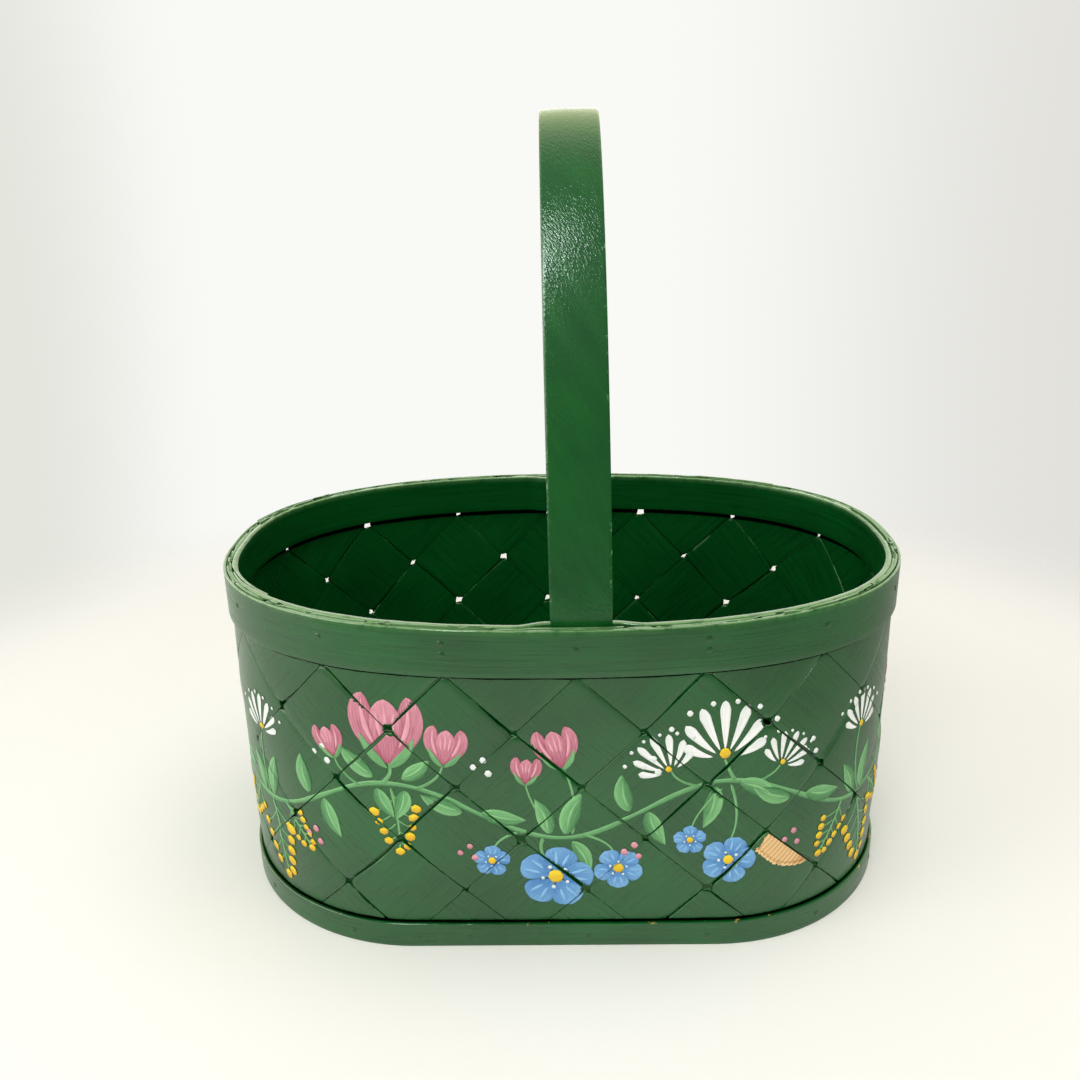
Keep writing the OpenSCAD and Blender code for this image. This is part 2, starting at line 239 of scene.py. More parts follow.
def startMaterial(name):  # a material, what adds its nodes, and what sets its shader's inputs
    material = bpy.data.materials.new(name)
    material.use_nodes = True
    tree = material.node_tree
    return material, partial(addNode, tree), partial(feed, tree, tree.nodes["Principled BSDF"])


def paintedWood(name, look):
    # enamel brushed over chip wood: the grain and the brush marks show through as fine ridges
    material, node, coat = startMaterial(name)
    coord = node("TexCoord").outputs["Object"]
    grain = node("Attribute", attribute_name="grain").outputs["Vector"]
    grain = node("VectorRotate", {"Vector": grain, "Angle": look["slant"]}, rotation_type="Z_AXIS")
    marks = {}
    for key in ("fibre", "brush"):
        stretch = (1 / look[key + "Long"], 1 / look[key + "Wide"], 7.0)
        stretch = node("VectorMath", grain, stretch, operation="MULTIPLY")
        marks[key] = node("TexNoise", {"Vector": stretch, "Scale": 1.0, "Detail": 3.0})
    cloud = node("TexNoise", {"Vector": coord, "Scale": 1 / look["cloud"], "Detail": 3.0})
    tone = node("MULTIPLY", cloud, 1 - look["brushShare"])
    tone = node("MULTIPLY_ADD", marks["brush"], look["brushShare"], tone)
    # the pale colour on marked edges: wear on the foot band and the handle, painted highlight on the
    # splints' thin edges, partly wear and partly painted sheen on the rim's top edge and the splints' top
    # ends
    worn = node("Attribute", attribute_name="worn").outputs["Fac"]
    patchy = node("TexNoise", {"Vector": coord, "Scale": 1 / look["wearAndSheenSize"], "Detail": 4.0,
                               "Roughness": 0.65})
    wearAndSheenShare = node("MULTIPLY", node("MapRange", patchy, *look["wearAndSheenRange"]), worn)
    layers = [(node("MapRange", tone, *look["toneRange"]), look["light"]), (wearAndSheenShare, look["wearAndSheenColour"])]
    # the inner side is less shiny, and its colour is painted darker towards black as painted shade inside
    # the basket
    inward = node("Attribute", attribute_name="inward").outputs["Fac"]
    shine = look["shine"]
    if look["innerShine"] != shine:
        shine = node("MULTIPLY_ADD", inward, look["innerShine"] - shine, shine)
    up = node("SeparateXYZ", coord).outputs["Z"]
    up = node("MULTIPLY_ADD", patchy, look["seamWander"], up)
    for low, high, lineColour, glossKept in look["seams"]:  # painted shade: black, glossless lines along the bands' edges; pale splint top ends, partly wear and partly painted sheen
        inSeam = node("COMPARE", up, (low + high) / 2, (high - low) / 2)
        shine = node("MULTIPLY", shine, node("MULTIPLY_ADD", inSeam, glossKept - 1, 1.0))
        layers.append((inSeam, lineColour))
    # painted shade: the inner side darkened towards black
    layers.append((node("MULTIPLY", inward, look["innerShade"]), "#000000"))
    colour = paintColour(look["dark"])
    for share, code in layers:
        colour = node("Mix", {0: share, 6: colour, 7: paintColour(code)}, data_type="RGBA")
    rough = node("MapRange", marks["brush"], *look["roughRange"], look["roughLow"], look["roughHigh"])
    relief = node("MULTIPLY", marks["fibre"], look["fibreDeep"])
    relief = node("MULTIPLY_ADD", marks["brush"], look["brushDeep"], relief)
    relief = node("MULTIPLY", relief, node("MULTIPLY_ADD", inward, look["innerRelief"] - 1, 1.0))
    bump = node("Bump", {"Strength": 1.0, "Distance": 1.0, "Height": relief})
    coat({"Base Color": colour, "Roughness": node("Mix", worn, None, rough, look["roughEdge"]),
          "Specular IOR Level": shine, "Normal": bump, "IOR": 1.62})
    return material


# fibres and brush marks are drawn a little coarser than they are, because they wouldn't show otherwise
woodLook = {"fibreLong": 40 * mm, "fibreWide": 0.5 * mm, "fibreDeep": 0.026 * mm, "brushLong": 30 * mm,
            "brushWide": 2.2 * mm, "brushDeep": 0.045 * mm, "cloud": 55 * mm, "dark": "#034518",
            "light": "#065b20", "wearAndSheenColour": "#7fae7c", "wearAndSheenSize": 6 * mm, "wearAndSheenRange": (0.5, 0.62),
            "roughLow": 0.24, "roughHigh": 0.36, "roughEdge": 0.14, "seams": [], "innerRelief": 0.3,
            "seamWander": 1.2 * mm, "slant": 0.0, "shine": 0.5, "innerShine": 0.12, "innerShade": 0.22,
            "brushShare": 0.4, "toneRange": (0.35, 0.65), "roughRange": (0.3, 0.7)}
# painted shade: two black, glossless lines, under the rim band's lower edge and above the foot band; then
# the pale splint top ends, partly wear and partly painted sheen
splintShadeAndSheenLines = [(wall["topRow"] - 0.8 * mm, wall["topRow"] + 2 * mm, "#030802", 0.0),
               (wall["bandTop"] - 1 * mm, wall["bandTop"] + 1.9 * mm, "#030802", 0.0),
               (180.4 * mm, 186 * mm, "#6f9a66", 0.4)]
splintPaint = paintedWood("enamelOnSplint", {  # satin, with pale lines here and there along thin edges as painted highlight
    **woodLook, "wearAndSheenRange": (0.5, 0.6), "wearAndSheenColour": "#5f9158", "wearAndSheenSize": 14 * mm, "seams": splintShadeAndSheenLines})
rimPaint = paintedWood("enamelOnRim", {  # long soft ridges, and an upper edge painted pale all round: partly wear, partly painted sheen
    **woodLook, "fibreLong": 60 * mm, "brushLong": 50 * mm, "brushDeep": 0.14 * mm,
    "wearAndSheenRange": (0.3, 0.5), "wearAndSheenColour": "#5f8c56"})
footPaint = paintedWood("enamelOnFoot", {  # the same coat, chipped through to tan wood in a few places
    **woodLook, "fibreLong": 60 * mm, "brushLong": 50 * mm, "wearAndSheenSize": 9 * mm, "wearAndSheenRange": (0.64, 0.68),
    "wearAndSheenColour": "#c99a58"})
handlePaint = paintedWood("glossEnamelOnHandle", {  # a thicker, glossy coat that breaks light into specks
    **woodLook, "slant": 0.5, "fibreLong": 2.4 * mm, "fibreWide": 0.85 * mm, "fibreDeep": 0.25 * mm,
    "brushLong": 25 * mm, "brushWide": 7 * mm, "brushDeep": 0.06 * mm, "roughLow": 0.13, "roughHigh": 0.2,
    "wearAndSheenRange": (0.6, 0.66), "wearAndSheenColour": "#6f9468", "wearAndSheenSize": 4 * mm, "shine": 0.42, "innerShine": 0.42,
    "dark": "#06461a", "light": "#0a561d"})
boardPaint = paintedWood("enamelOnBoard", {  # coarser wood under a dry, duller coat
    **woodLook, "fibreWide": 1.2 * mm, "roughLow": 0.45, "roughHigh": 0.6, "innerShine": 0.5})
nailPaint = paintedWood("enamelOnNail", {  # metal filled smooth by the paint
    **woodLook, "fibreDeep": 0.0, "dark": "#0c4519", "light": "#104e1e", "innerShine": 0.5})
print("finishes ready")

# splints: one tree, 32 pieces
splintSizes = {"Leans": 1.0, "Number": 0.0, "Thickness": 1.1 * mm, "Layer Offset": 0.625 * mm,
               "Bow": 0.8 * mm, "Edge Lift": 0.45, "Top": 181.4 * mm, "Top Unevenness": 1.6 * mm,
               "Bottom": 0.6 * mm, "Edge Rounding": 0.2 * mm, "Slit": 0.14, "Lens": 0.95, "Corner Gap": 1.3,
               "Tilt": 0.35 * mm, "Seed": 3.0}
splintRows = {"cells": 8, "perCell": 24, "gapRows": 4, "across": 17, "flatShare": 0.75, "innerShare": 0.986}
splintTops = {"middle": 0.4, "chipRate": 9.0, "chipRange": (0.58, 0.7), "chipDepth": -0.8,
              "wearAndSheenReach": -0.02}
bowSpread = (0.8, 0.3)  # how much the crossings' bows differ, and the flattest one
leansApart = 37.0  # keeps the random values of the two leans apart
gapShare = wall["gapShare"]
slitHalf = 0.22 * gapShare  # half the run, in cells, in which a splint changes layers
cornerReach = (0.044, 0.06)  # how far a wide corner gap runs along an edge, in cells
cornerGaps = {1: 2.0, -1: 1.3}  # by lean: the corner holes are longer one way
holeSpread = (0.85, 0.3)  # the holes' middle size, and how much they differ
slitWave = 0.85  # how much a slit opens and closes along its edge
edgeWaves = {"along": 2.1, "number": 2.4, "leans": 1.3, "side": 1.9}
holeWaves = (2.4, -2.4 + 10 * math.pi / 16)  # by p and q, the same again after a full turn


def edgeGap(along, number, leans, side):  # half the gap beside a splint's edge, as the tree makes it
    phase = along * edgeWaves["along"] + splintSizes["Seed"] + number * edgeWaves["number"]
    phase = phase + leans * edgeWaves["leans"] + side * edgeWaves["side"]
    lens = np.maximum(np.sin(phase), 0) ** 3
    near = (np.abs(along - np.round(along)) - cornerReach[0]) / (cornerReach[1] - cornerReach[0])
    near = np.clip(near, 0, 1)
    corner = (1 - near * near * (3 - 2 * near)) * np.where(leans > 0, cornerGaps[1], cornerGaps[-1])
    edge, corners = number + (side + 1) / 2, np.round(along)
    over = leans > 0
    wave = holeWaves[0] * np.where(over, corners, edge) + holeWaves[1] * np.where(over, edge, corners)
    corner = corner * (holeSpread[0] + holeSpread[1] * np.sin(wave))
    slit = splintSizes["Slit"] * (1 + slitWave * np.sin(phase))
    return gapShare * (slit + splintSizes["Lens"] * lens + corner)


def edgeRows(node, coordinate, flatShare, innerShare, rounding):
    # rows across a strip, close together at its edges, and how far the faces fall away there
    ends = node("ABSOLUTE", coordinate)
    inner = node("MapRange", ends, 0.0, flatShare, 0.0, innerShare)
    edge = node("MapRange", ends, flatShare, 1.0)
    reach = node("MULTIPLY_ADD", edge, 1 - innerShare, inner)
    return reach, edge, node("MULTIPLY", node("MULTIPLY", edge, edge), rounding)


def buildSplintTree():
    tree, node, given, here = startTree("slantedSplint", splintSizes)
    leans, number = given["Leans"], given["Number"]
    cells, gapPart = splintRows["cells"], splintRows["gapRows"] / splintRows["perCell"]
    block = node("GeometryNodeMeshCube",
                 {"Size": (cells, 2, 2), "Vertices X": cells * splintRows["perCell"] + 1,
                  "Vertices Y": splintRows["across"], "Vertices Z": 2})
    # along the splint: close rows in the gaps, where it goes over or under
    steps = node("ADD", here["X"], cells / 2)
    whole = node("FLOOR", steps)
    part = node("SUBTRACT", steps, whole)
    inGap = node("MapRange", part, 0.0, gapPart, -slitHalf, slitHalf)
    beyond = node("MapRange", part, gapPart, 1.0, 0.0, 1 - 2 * slitHalf)
    rough = node("ADD", number, node("MULTIPLY_ADD", leans, -2.5, -3.5))
    for more in (whole, inGap, beyond):
        rough = node("ADD", rough, more)
    # across it: tight slits that open at the corners, and lens-shaped gaps here and there
    reachOut, edge, drop = edgeRows(node, here["Y"], splintRows["flatShare"], splintRows["innerShare"],
                                    given["Edge Rounding"])
    side = node("MULTIPLY", node("MULTIPLY", node("SIGN", here["Y"]), leans), -1.0)
    phase = node("MULTIPLY_ADD", rough, edgeWaves["along"], given["Seed"])
    for value, key in ((number, "number"), (leans, "leans"), (side, "side")):
        phase = node("MULTIPLY_ADD", value, edgeWaves[key], phase)
    wave = node("SINE", phase)
    slit = node("MULTIPLY", node("MULTIPLY_ADD", wave, slitWave, 1.0), given["Slit"])
    lens = node("POWER", node("MAXIMUM", wave, 0.0), 3.0)
    corner = node("MapRange", node("PINGPONG", rough, 0.5), *cornerReach, 1.0, 0.0, **smooth)
    corners = node("ROUND", rough)
    line = node("ADD", node("MULTIPLY_ADD", side, 0.5, 0.5), number)
    over = node("GREATER_THAN", leans, 0.0)
    vertex = [node("Mix", over, None, *pair) for pair in ((line, corners), (corners, line))]
    wave = node("MULTIPLY_ADD", vertex[1], holeWaves[1], node("MULTIPLY", vertex[0], holeWaves[0]))
    spread = node("MULTIPLY_ADD", node("SINE", wave), holeSpread[1], holeSpread[0])
    corner = node("MULTIPLY", corner, spread)
    wide = node("MULTIPLY_ADD", lens, given["Lens"], slit)
    half = node("MULTIPLY_ADD", node("MULTIPLY_ADD", corner, given["Corner Gap"], wide), -gapShare, 0.5)
    cross = node("ADD", number, node("MULTIPLY_ADD", node("MULTIPLY", reachOut, side), half, 0.5))
    # both ends are cut level: the tops a little unevenly, with chips
    label = node("ADD", node("MULTIPLY_ADD", leans, leansApart, number), given["Seed"])
    uneven = node("TexWhiteNoise", {"W": label}, noise_dimensions="1D")
    uneven = node("SUBTRACT", uneven, splintTops["middle"])
    chip = {"W": node("MULTIPLY_ADD", cross, splintTops["chipRate"], label), "Scale": 1.0, "Detail": 2.0}
    chip = node("TexNoise", chip, noise_dimensions="1D")
    chip = node("MapRange", chip, *splintTops["chipRange"], 0.0, splintTops["chipDepth"])
    uneven = node("ADD", uneven, chip)
    top = node("MULTIPLY_ADD", uneven, given["Top Unevenness"], given["Top"])
    ends = [node("DIVIDE", node("SUBTRACT", level, wall["topRow"]), wall["rowHeight"])
            for level in (top, given["Bottom"])]
    reach = node("MINIMUM", node("MULTIPLY", node("SUBTRACT", rough, cross), leans), ends[0])
    reach = node("MAXIMUM", reach, ends[1])
    along = node("MULTIPLY_ADD", reach, leans, cross)
    height = node("MULTIPLY_ADD", reach, wall["rowHeight"], wall["topRow"])
    column = node("MULTIPLY", node("ADD", along, cross), 0.5)
    # over one, under one
    cell = node("FLOOR", node("ADD", along, slitHalf))
    within = node("SUBTRACT", along, cell)
    sign = node("MULTIPLY_ADD", node("FLOORED_MODULO", node("SUBTRACT", number, cell), 2.0), -2.0, 1.0)
    ramp = node("MapRange", within, -slitHalf, slitHalf, -1.0, 1.0, **smooth)
    layer = node("MULTIPLY", node("MULTIPLY", sign, ramp), leans)
    # bowed in the middle of each crossing, flat at the bands
    bends = [node("ABSOLUTE", node("SINE", node("MULTIPLY", place, math.pi))) for place in (along, cross)]
    lift = node("MULTIPLY_ADD", bends[1], node("SUBTRACT", 1.0, given["Edge Lift"]), given["Edge Lift"])
    below = node("SUBTRACT", wall["legFoot"], height)
    free = node("MINIMUM", below, node("SUBTRACT", height, wall["bandTop"]))
    free = node("DIVIDE", free, wall["rowHeight"], use_clamp=True)
    moods = node("TexWhiteNoise", {"Vector": node("CombineXYZ", cell, number, leans)}, noise_dimensions="3D")
    moods = node("SeparateXYZ", moods.outputs["Color"]).outputs
    swell = node("MULTIPLY", node("MULTIPLY", bends[0], lift), free)
    swell = node("MULTIPLY", swell, node("MULTIPLY_ADD", moods["X"], *bowSpread))
    middle = node("MULTIPLY_ADD", swell, given["Bow"], given["Layer Offset"])
    # each crossing lies a little askew, which gives it a sheen of its own
    for share, mood in ((within, "Y"), (node("SUBTRACT", cross, number), "Z")):
        lean = node("MULTIPLY_ADD", moods[mood], 2.0, -1.0)
        slope = node("MULTIPLY", node("MULTIPLY_ADD", share, 2.0, -1.0), lean)
        slope = node("MULTIPLY", node("ADD", slope, node("ABSOLUTE", lean)), free)
        middle = node("MULTIPLY_ADD", slope, given["Tilt"], middle)
    thick = node("SUBTRACT", node("MULTIPLY", given["Thickness"], 0.5), drop)
    depth = node("MULTIPLY_ADD", layer, middle, node("MULTIPLY", thick, here["Z"]))
    # the grain runs along the splint
    grain = [node("MULTIPLY", place, wall["splintPitch"]) for place in (along, cross)]
    # the thin edges are marked for pale painted highlight, and the top ends for pale colour that is partly
    # wear and partly painted sheen
    nearTop = node("SUBTRACT", reach, ends[0])
    nearTop = node("MapRange", nearTop, splintTops["wearAndSheenReach"], 0.0, 0.0, 3.0)
    notes = {"grain": node("CombineXYZ", *grain, label), "worn": node("MAXIMUM", edge, nearTop),
             "inward": node("MULTIPLY_ADD", here["Z"], -0.5, 0.5)}
    onWall = node("GeometryNodeGroup", {"Column": column, "Depth": depth, "Height": height},
                  node_tree=wallPlace).outputs
    return finishTree(tree, given, block, onWall["Position"], notes)


splintTree = buildSplintTree()
splints = []
for leans, word in ((1, "right"), (-1, "left")):
    for number in range(wall["columns"]):
        sizes = {"Leans": float(leans), "Number": float(number), "Corner Gap": cornerGaps[leans]}
        piece = growPiece("%sSplint%02d" % (word, number + 1), splintTree, sizes, splintPaint)
        splints.append(seat(piece, "splint_paint", "%s_splint_%02d" % (word, number + 1)))
print("splints ready:", sum(len(s.data.polygons) for s in splints), "faces")

# the painted garland: a waving vine with sprays above and below it, every mark one brush stroke
garland = {"repeats": 3, "firstSpray": -92.0, "middle": 82.0, "swing": 15.0, "mark": 1.3, "seed": 11,
           "layerStep": 0.07, "strokeStep": 0.006, "toneSpread": 0.08, "paintThick": 0.09 * mm,
           "underneath": 0.06 * mm, "edgeMargin": 0.004}  # places, marks and steps in millimetres
repeatLength = wall["columnWidth"] / mm * wall["columns"] / garland["repeats"]
halfWave = repeatLength / 4
brushShapes = {"stem": lambda s: np.minimum(1, np.sqrt(12 * s)) * (1 - 0.5 * s),
               "vine": lambda s: 0.85 + 0.15 * np.sin(s * 170),
               "leaf": lambda s: np.sin(np.pi * s ** 0.8) ** 0.85,
               "petal": lambda s: np.sin(np.pi * s ** 1.5) ** 0.6,
               "comma": lambda s: np.minimum(1, np.sqrt(5 * s)) * (1 - s) ** 0.7,
               "dot": lambda s: 2 * np.sqrt(s * (1 - s))}
brushMarks = {"green": [], "rose": [], "blue": [], "white": [], "gold": []}
dice = random.Random(garland["seed"])


def brushStroke(colour, layer, shape, points, width, along=0.3, across=0.0, base=0.35):
    points = np.array(points, dtype=float)
    if len(points) < 4:  # a straight or a bent pull of the brush
        s = np.linspace(0, 1, 40)[:, None]
        ends = points[0] * (1 - s) + points[-1] * s
        points = ends + (points[1] - (points[0] + points[-1]) / 2) * 2 * s * (1 - s) * (len(points) == 3)
    run = np.concatenate([[0], np.cumsum(np.linalg.norm(np.diff(points, axis=0), axis=1))])
    s = np.linspace(0, 1, max(5, math.ceil(run[-1] / garland["mark"]) + 1))
    path = np.stack([np.interp(s * run[-1], run, points[:, k]) for k in (0, 1)], -1)
    ahead = np.gradient(path, axis=0)
    ahead /= np.linalg.norm(ahead, axis=1, keepdims=True)
    side = np.stack([-ahead[:, 1], ahead[:, 0]], -1)
    t = np.linspace(-1, 1, max(3, math.ceil(width / garland["mark"]) + 1))
    half = brushShapes[shape](s)[:, None] * width / 2 * t[None, :]
    grid = path[:, None] + side[:, None] * half[..., None]
    tone = base + along * s[:, None] + across * t[None, :]
    tone = tone + dice.uniform(-garland["toneSpread"], garland["toneSpread"])
    marks = brushMarks[colour]
    lift = garland["layerStep"] * layer + garland["strokeStep"] * (len(marks) % 9)
    marks.append({"grid": grid, "tone": tone, "lift": lift,
                  "run": np.broadcast_to(s[:, None] * run[-1], half.shape), "side": half})


def local(x, z, turn, size, *points):  # points along and aside, in shares of a size, turned from straight up
    c, s = math.cos(math.radians(turn)), math.sin(math.radians(turn))
    return [(x + s * a * size - c * b * size, z + c * a * size + s * b * size) for a, b in points]


def stem(x, z, width, *points):  # from its foot to points beside it
    brushStroke("green", 1, "stem", [(x, z)] + [(x + a, z + b) for a, b in points], width, 0.2, 0.0, 0.5)


def leaf(x, z, turn, length, width, bend=0.12):
    path = local(x, z, turn, length, (0, 0), (0.5, bend), (1, 0))
    brushStroke("green", 1, "leaf", path, width, 0.1, 0.42, 0.4)
    vein = local(x, z, turn, length, (0.12, 0), (0.5, bend), (0.85, 0))
    brushStroke("green", 2, "leaf", vein, 1.1, 0.1, 0.0, 0.95)


def dots(colour, places, size, base=0.6):
    for x, z in places:
        r = size * dice.uniform(0.85, 1.1)
        brushStroke(colour, 4, "dot", [(x - r, z), (x + r, z + r * 0.2)], 2 * r, 0.0, 0.25, base)


def tulip(x, z, turn, size):  # three petals in a cup, with pale pulls of the brush on them
    spot = (x, z, turn, size)
    for aside in (-1, 1):
        petal = local(*spot, (0, 0), (0.5, 0.44 * aside), (1, 0.3 * aside))
        brushStroke("rose", 2, "petal", petal, size * 0.36, 0.35, 0.15 * aside, 0.15)
        pale = local(*spot, (0.25, 0.16 * aside), (0.6, 0.36 * aside), (0.93, 0.3 * aside))
        brushStroke("rose", 4, "leaf", pale, size * 0.07, 0.0, 0.0, 1.0)
        sepal = local(*spot, (-0.06, 0), (0.15, 0.3 * aside), (0.42, 0.36 * aside))
        brushStroke("green", 5, "leaf", sepal, size * 0.13, 0.3, 0.0, 0.4)
    brushStroke("rose", 3, "petal", local(*spot, (0, 0), (0.94, 0)), size * 0.44, 0.5, 0.0, 0.25)
    for aside in (-0.08, 0.0, 0.08):
        pale = local(*spot, (0.4, aside), (0.86 - abs(aside), aside * 1.6))
        brushStroke("rose", 5, "leaf", pale, size * 0.055, 0.0, 0.0, 1.1)


def rosette(x, z, radius, turn):  # five round petals about a golden middle
    for k in range(5):
        spot = (x, z, turn + 72 * k + dice.uniform(-4, 4), radius)
        brushStroke("blue", 2, "petal", local(*spot, (0.1, 0), (1, 0)), radius * 0.86, 0.55, 0.12, 0.1)
        for aside in (-0.13, 0.13):
            pale = local(*spot, (0.4, aside * 0.6), (0.84, aside * 1.4))
            brushStroke("blue", 3, "leaf", pale, radius * 0.08, 0.0, 0.0, 1.05)
    dots("gold", [(x, z)], radius * 0.21, 0.7)
    ring = [local(x, z, turn + 36 + 72 * k, radius, (0.34, 0))[0] for k in range(5)]
    dots("white", ring, radius * 0.055)


def whiteSpray(x, z, turn, size):  # a fan of comma strokes with dots beyond them
    for k in range(-3, 4):
        long = 1 - 0.035 * k * k
        comma = local(x, z, turn + 21 * k, size, (long, 0), (long * 0.6, -0.02 * k), (0.2, 0))
        brushStroke("white", 2, "comma", comma, size * 0.19, 0.3, 0.2, 0.65)
    fan = [local(x, z, turn + 21 * k + 10.5, size, (0.98, 0))[0] for k in range(-3, 3)]
    dots("white", fan, size * 0.045)
    dots("gold", local(x, z, turn, size, (0.13, 0)), size * 0.08, 0.6)


def berrySpray(x, z, turn, size):  # golden berries on forked stems
    spot = (x, z, turn, size)
    stalk = local(*spot, (0, 0), (0.5, 0.06), (1, 0))
    brushStroke("green", 1, "stem", stalk, 1.5, 0.2, 0.0, 0.6)
    for k in range(9):
        aside, start, reach = 1 - k % 2 * 2, 0.1 + 0.095 * k, 0.31 - 0.024 * k
        tip = (start + reach * 0.75, aside * reach)
        fork = local(*spot, (start, 0), (start + reach * 0.5, aside * reach * 0.35), tip)
        brushStroke("green", 1, "stem", fork, 0.9, 0.2, 0.0, 0.6)
        berry(*local(*spot, tip)[0], size * 0.058 + 0.4)
    berry(*local(*spot, (1.03, 0))[0], size * 0.06 + 0.4)


def berry(x, z, r):  # round, shaded below, with a dab of light
    r *= dice.uniform(0.85, 1.1)
    brushStroke("gold", 4, "dot", [(x, z - r), (x, z + r)], 2 * r, 0.75, 0.0, 0.2)
    dab = [(x - r * 0.5, z + r * 0.3), (x + r * 0.1, z + r * 0.5)]
    brushStroke("gold", 6, "dot", dab, r * 0.4, 0.0, 0.0, 1.2)


# what grows from the vine's crests and troughs in turn: up or down, then each plant, where its foot is
# beside the vine, and its own turn and sizes
plants = [
    # three tulips on the first crest
    (1, [(stem, -4, 0, 2.4, (7, 6), (4, 12)), (tulip, 0, 11, 2, 37),
         (stem, 12, -2, 1.8, (13, 4), (15, 15)), (tulip, 27, 12, 10, 21),
         (stem, -16, -3, 1.6, (-11, 5), (-12, 15)), (tulip, -28, 11, -14, 17),
         (leaf, -8, 3, -48, 22, 9), (leaf, 6, 3, 52, 18, 8, -0.12), (leaf, 7, -3, 200, 18, 8),
         (leaf, -7, -3, 156, 18, 8, -0.12), (berrySpray, 0, -2, 178, 36)]),
    # rosettes under the first trough, and small tulips above it
    (-1, [(stem, -8, 0, 2.0, (-4, -8), (3, -16)), (rosette, -3, -24, 19, 12),
          (stem, 12, 2, 1.6, (12, -4), (14, -11)), (rosette, 28, -19, 12.5, 40),
          (stem, -20, 3, 1.6, (-11, -3), (-13, -11)), (rosette, -34, -14, 9.5, 5),
          (leaf, 6, -2, 156, 20, 8), (leaf, 3, 2, 20, 26, 9.5), (leaf, -5, 2, -16, 22, 8.5, -0.12),
          (stem, 6, 2, 1.7, (5, 20), (-3, 40)), (tulip, 3, 41, -12, 22),
          (stem, -3, 3, 1.5, (-11, 17), (-12, 30)), (tulip, -15, 32, 6, 15)]),
    # white sprays on the second crest, and rosettes below it
    (1, [(stem, 5, 0, 2.2, (-3, 6), (-5, 12)), (whiteSpray, 0, 11, 0, 33),
         (stem, -12, -2, 1.6, (-12, 3), (-14, 10)), (whiteSpray, -26, 6, -24, 23),
         (stem, 14, -3, 1.6, (11, 3), (14, 8)), (whiteSpray, 28, 4, 28, 20),
         (leaf, 7, -1, 122, 24, 9), (leaf, -4, -3, 196, 24, 9),
         (stem, 3, -2, 1.6, (6, -18), (0, -32)), (rosette, 2, -46, 14, 20),
         (stem, -1, -4, 1.4, (-14, -14), (-15, -22)), (rosette, -17, -33, 8.5, 0)]),
    # berries under the second trough, and a spray above it
    (-1, [(berrySpray, 2, 0, 172, 44), (berrySpray, -12, 2, 212, 30), (berrySpray, 14, 2, 138, 26),
          (leaf, 4, 2, 14, 26, 9), (leaf, -4, 2, -22, 22, 8.5, -0.12),
          (stem, 1, 2, 1.7, (-7, 20), (0, 39)), (whiteSpray, 1, 38, 4, 22)])]


def vineHeight(x):
    return garland["middle"] + garland["swing"] * math.cos((x - garland["firstSpray"]) / halfWave * math.pi)


def plantGarland():
    marks = np.arange(0, repeatLength * garland["repeats"] + 1, 2.5)
    brushStroke("green", 0, "vine", [(x, vineHeight(x)) for x in marks], 3.0, 0.0, 0.3, 0.45)
    for k in range(garland["repeats"]):
        x = garland["firstSpray"] + repeatLength * k
        for way, group in plants:
            for plant, aside, up, *sizes in group:
                plant(x + aside, garland["middle"] + garland["swing"] * way + up, *sizes)
            x += halfWave
    for k in range(garland["repeats"] * 4):  # leaves in pairs on every slope of the vine
        x = garland["firstSpray"] + halfWave * (k + 0.5)
        lean = 90 + (28 if k % 2 else -28)
        z = vineHeight(x)
        leaf(x - 6, z, lean - 126, 22, 9)
        leaf(x + 3, z, lean + 40, 22, 9, -0.12)
        dots("white", [(x + 1, z + 26), (x + 8, z + 22.5), (x + 6, z + 30)], 1.7)
        dots("rose", [(x - 9, z - 24), (x - 2, z - 27), (x - 4, z - 20)], 1.8, 0.7)


plantGarland()
skinVerts, skinFaces = [], []
for mesh in [s.data for s in splints]:
    first = len(skinVerts)
    skinVerts += [v.co.copy() for v in mesh.vertices]
    skinFaces += [[first + v for v in face.vertices] for face in mesh.polygons]
weave = BVHTree.FromPolygons(skinVerts, skinFaces)
startOut, overLayer = 6 * mm, 0.9 * mm  # rays start outside the bowed splints; under this depth is a gap
turnReach = 0.26 * gapShare  # a film ends this far from where its splint changes layers
closeMarks, leastArea = 0.004 * mm, 0.02 * mm * mm  # slivers under these sizes are merged or dropped


def onLattice(grid):  # flat millimetres to lattice places p and q
    column = grid[..., 0] * mm / wall["columnWidth"]
    reach = (grid[..., 1] * mm - wall["topRow"]) / wall["rowHeight"]
    return column + reach / 2, column - reach / 2


def offLattice(p, q):  # lattice places back to column and height
    return (p + q) / 2, wall["topRow"] + (p - q) * wall["rowHeight"]


def holdToCrossing(p, q, cellP, cellQ, alongP):  # keeps painted places on the splint that is uppermost
    over = alongP > 0
    along, cross = np.where(over, p, q), np.where(over, q, p)
    cell, number = np.where(over, cellP, cellQ), np.where(over, cellQ, cellP)
    along = np.clip(along, cell + turnReach, cell + 1 - turnReach)
    margins = [edgeGap(along, number, np.where(over, 1, -1), side) + garland["edgeMargin"]
               for side in (-1, 1)]
    cross = np.clip(cross, number + margins[0], number + 1 - margins[1])
    return np.where(over, along, cross), np.where(over, cross, along)


def cutAway(polygon, axis, limit, way):  # keeps the part of a flat polygon on one side of a lattice line
    kept = []
    for here, ahead in zip(polygon, polygon[1:] + polygon[:1]):
        now, then = (here[axis] - limit) * way, (ahead[axis] - limit) * way
        if now >= 0:
            kept.append(here)
        if now * then < 0:
            kept.append(here + (ahead - here) * (now / (now - then)))
    return kept


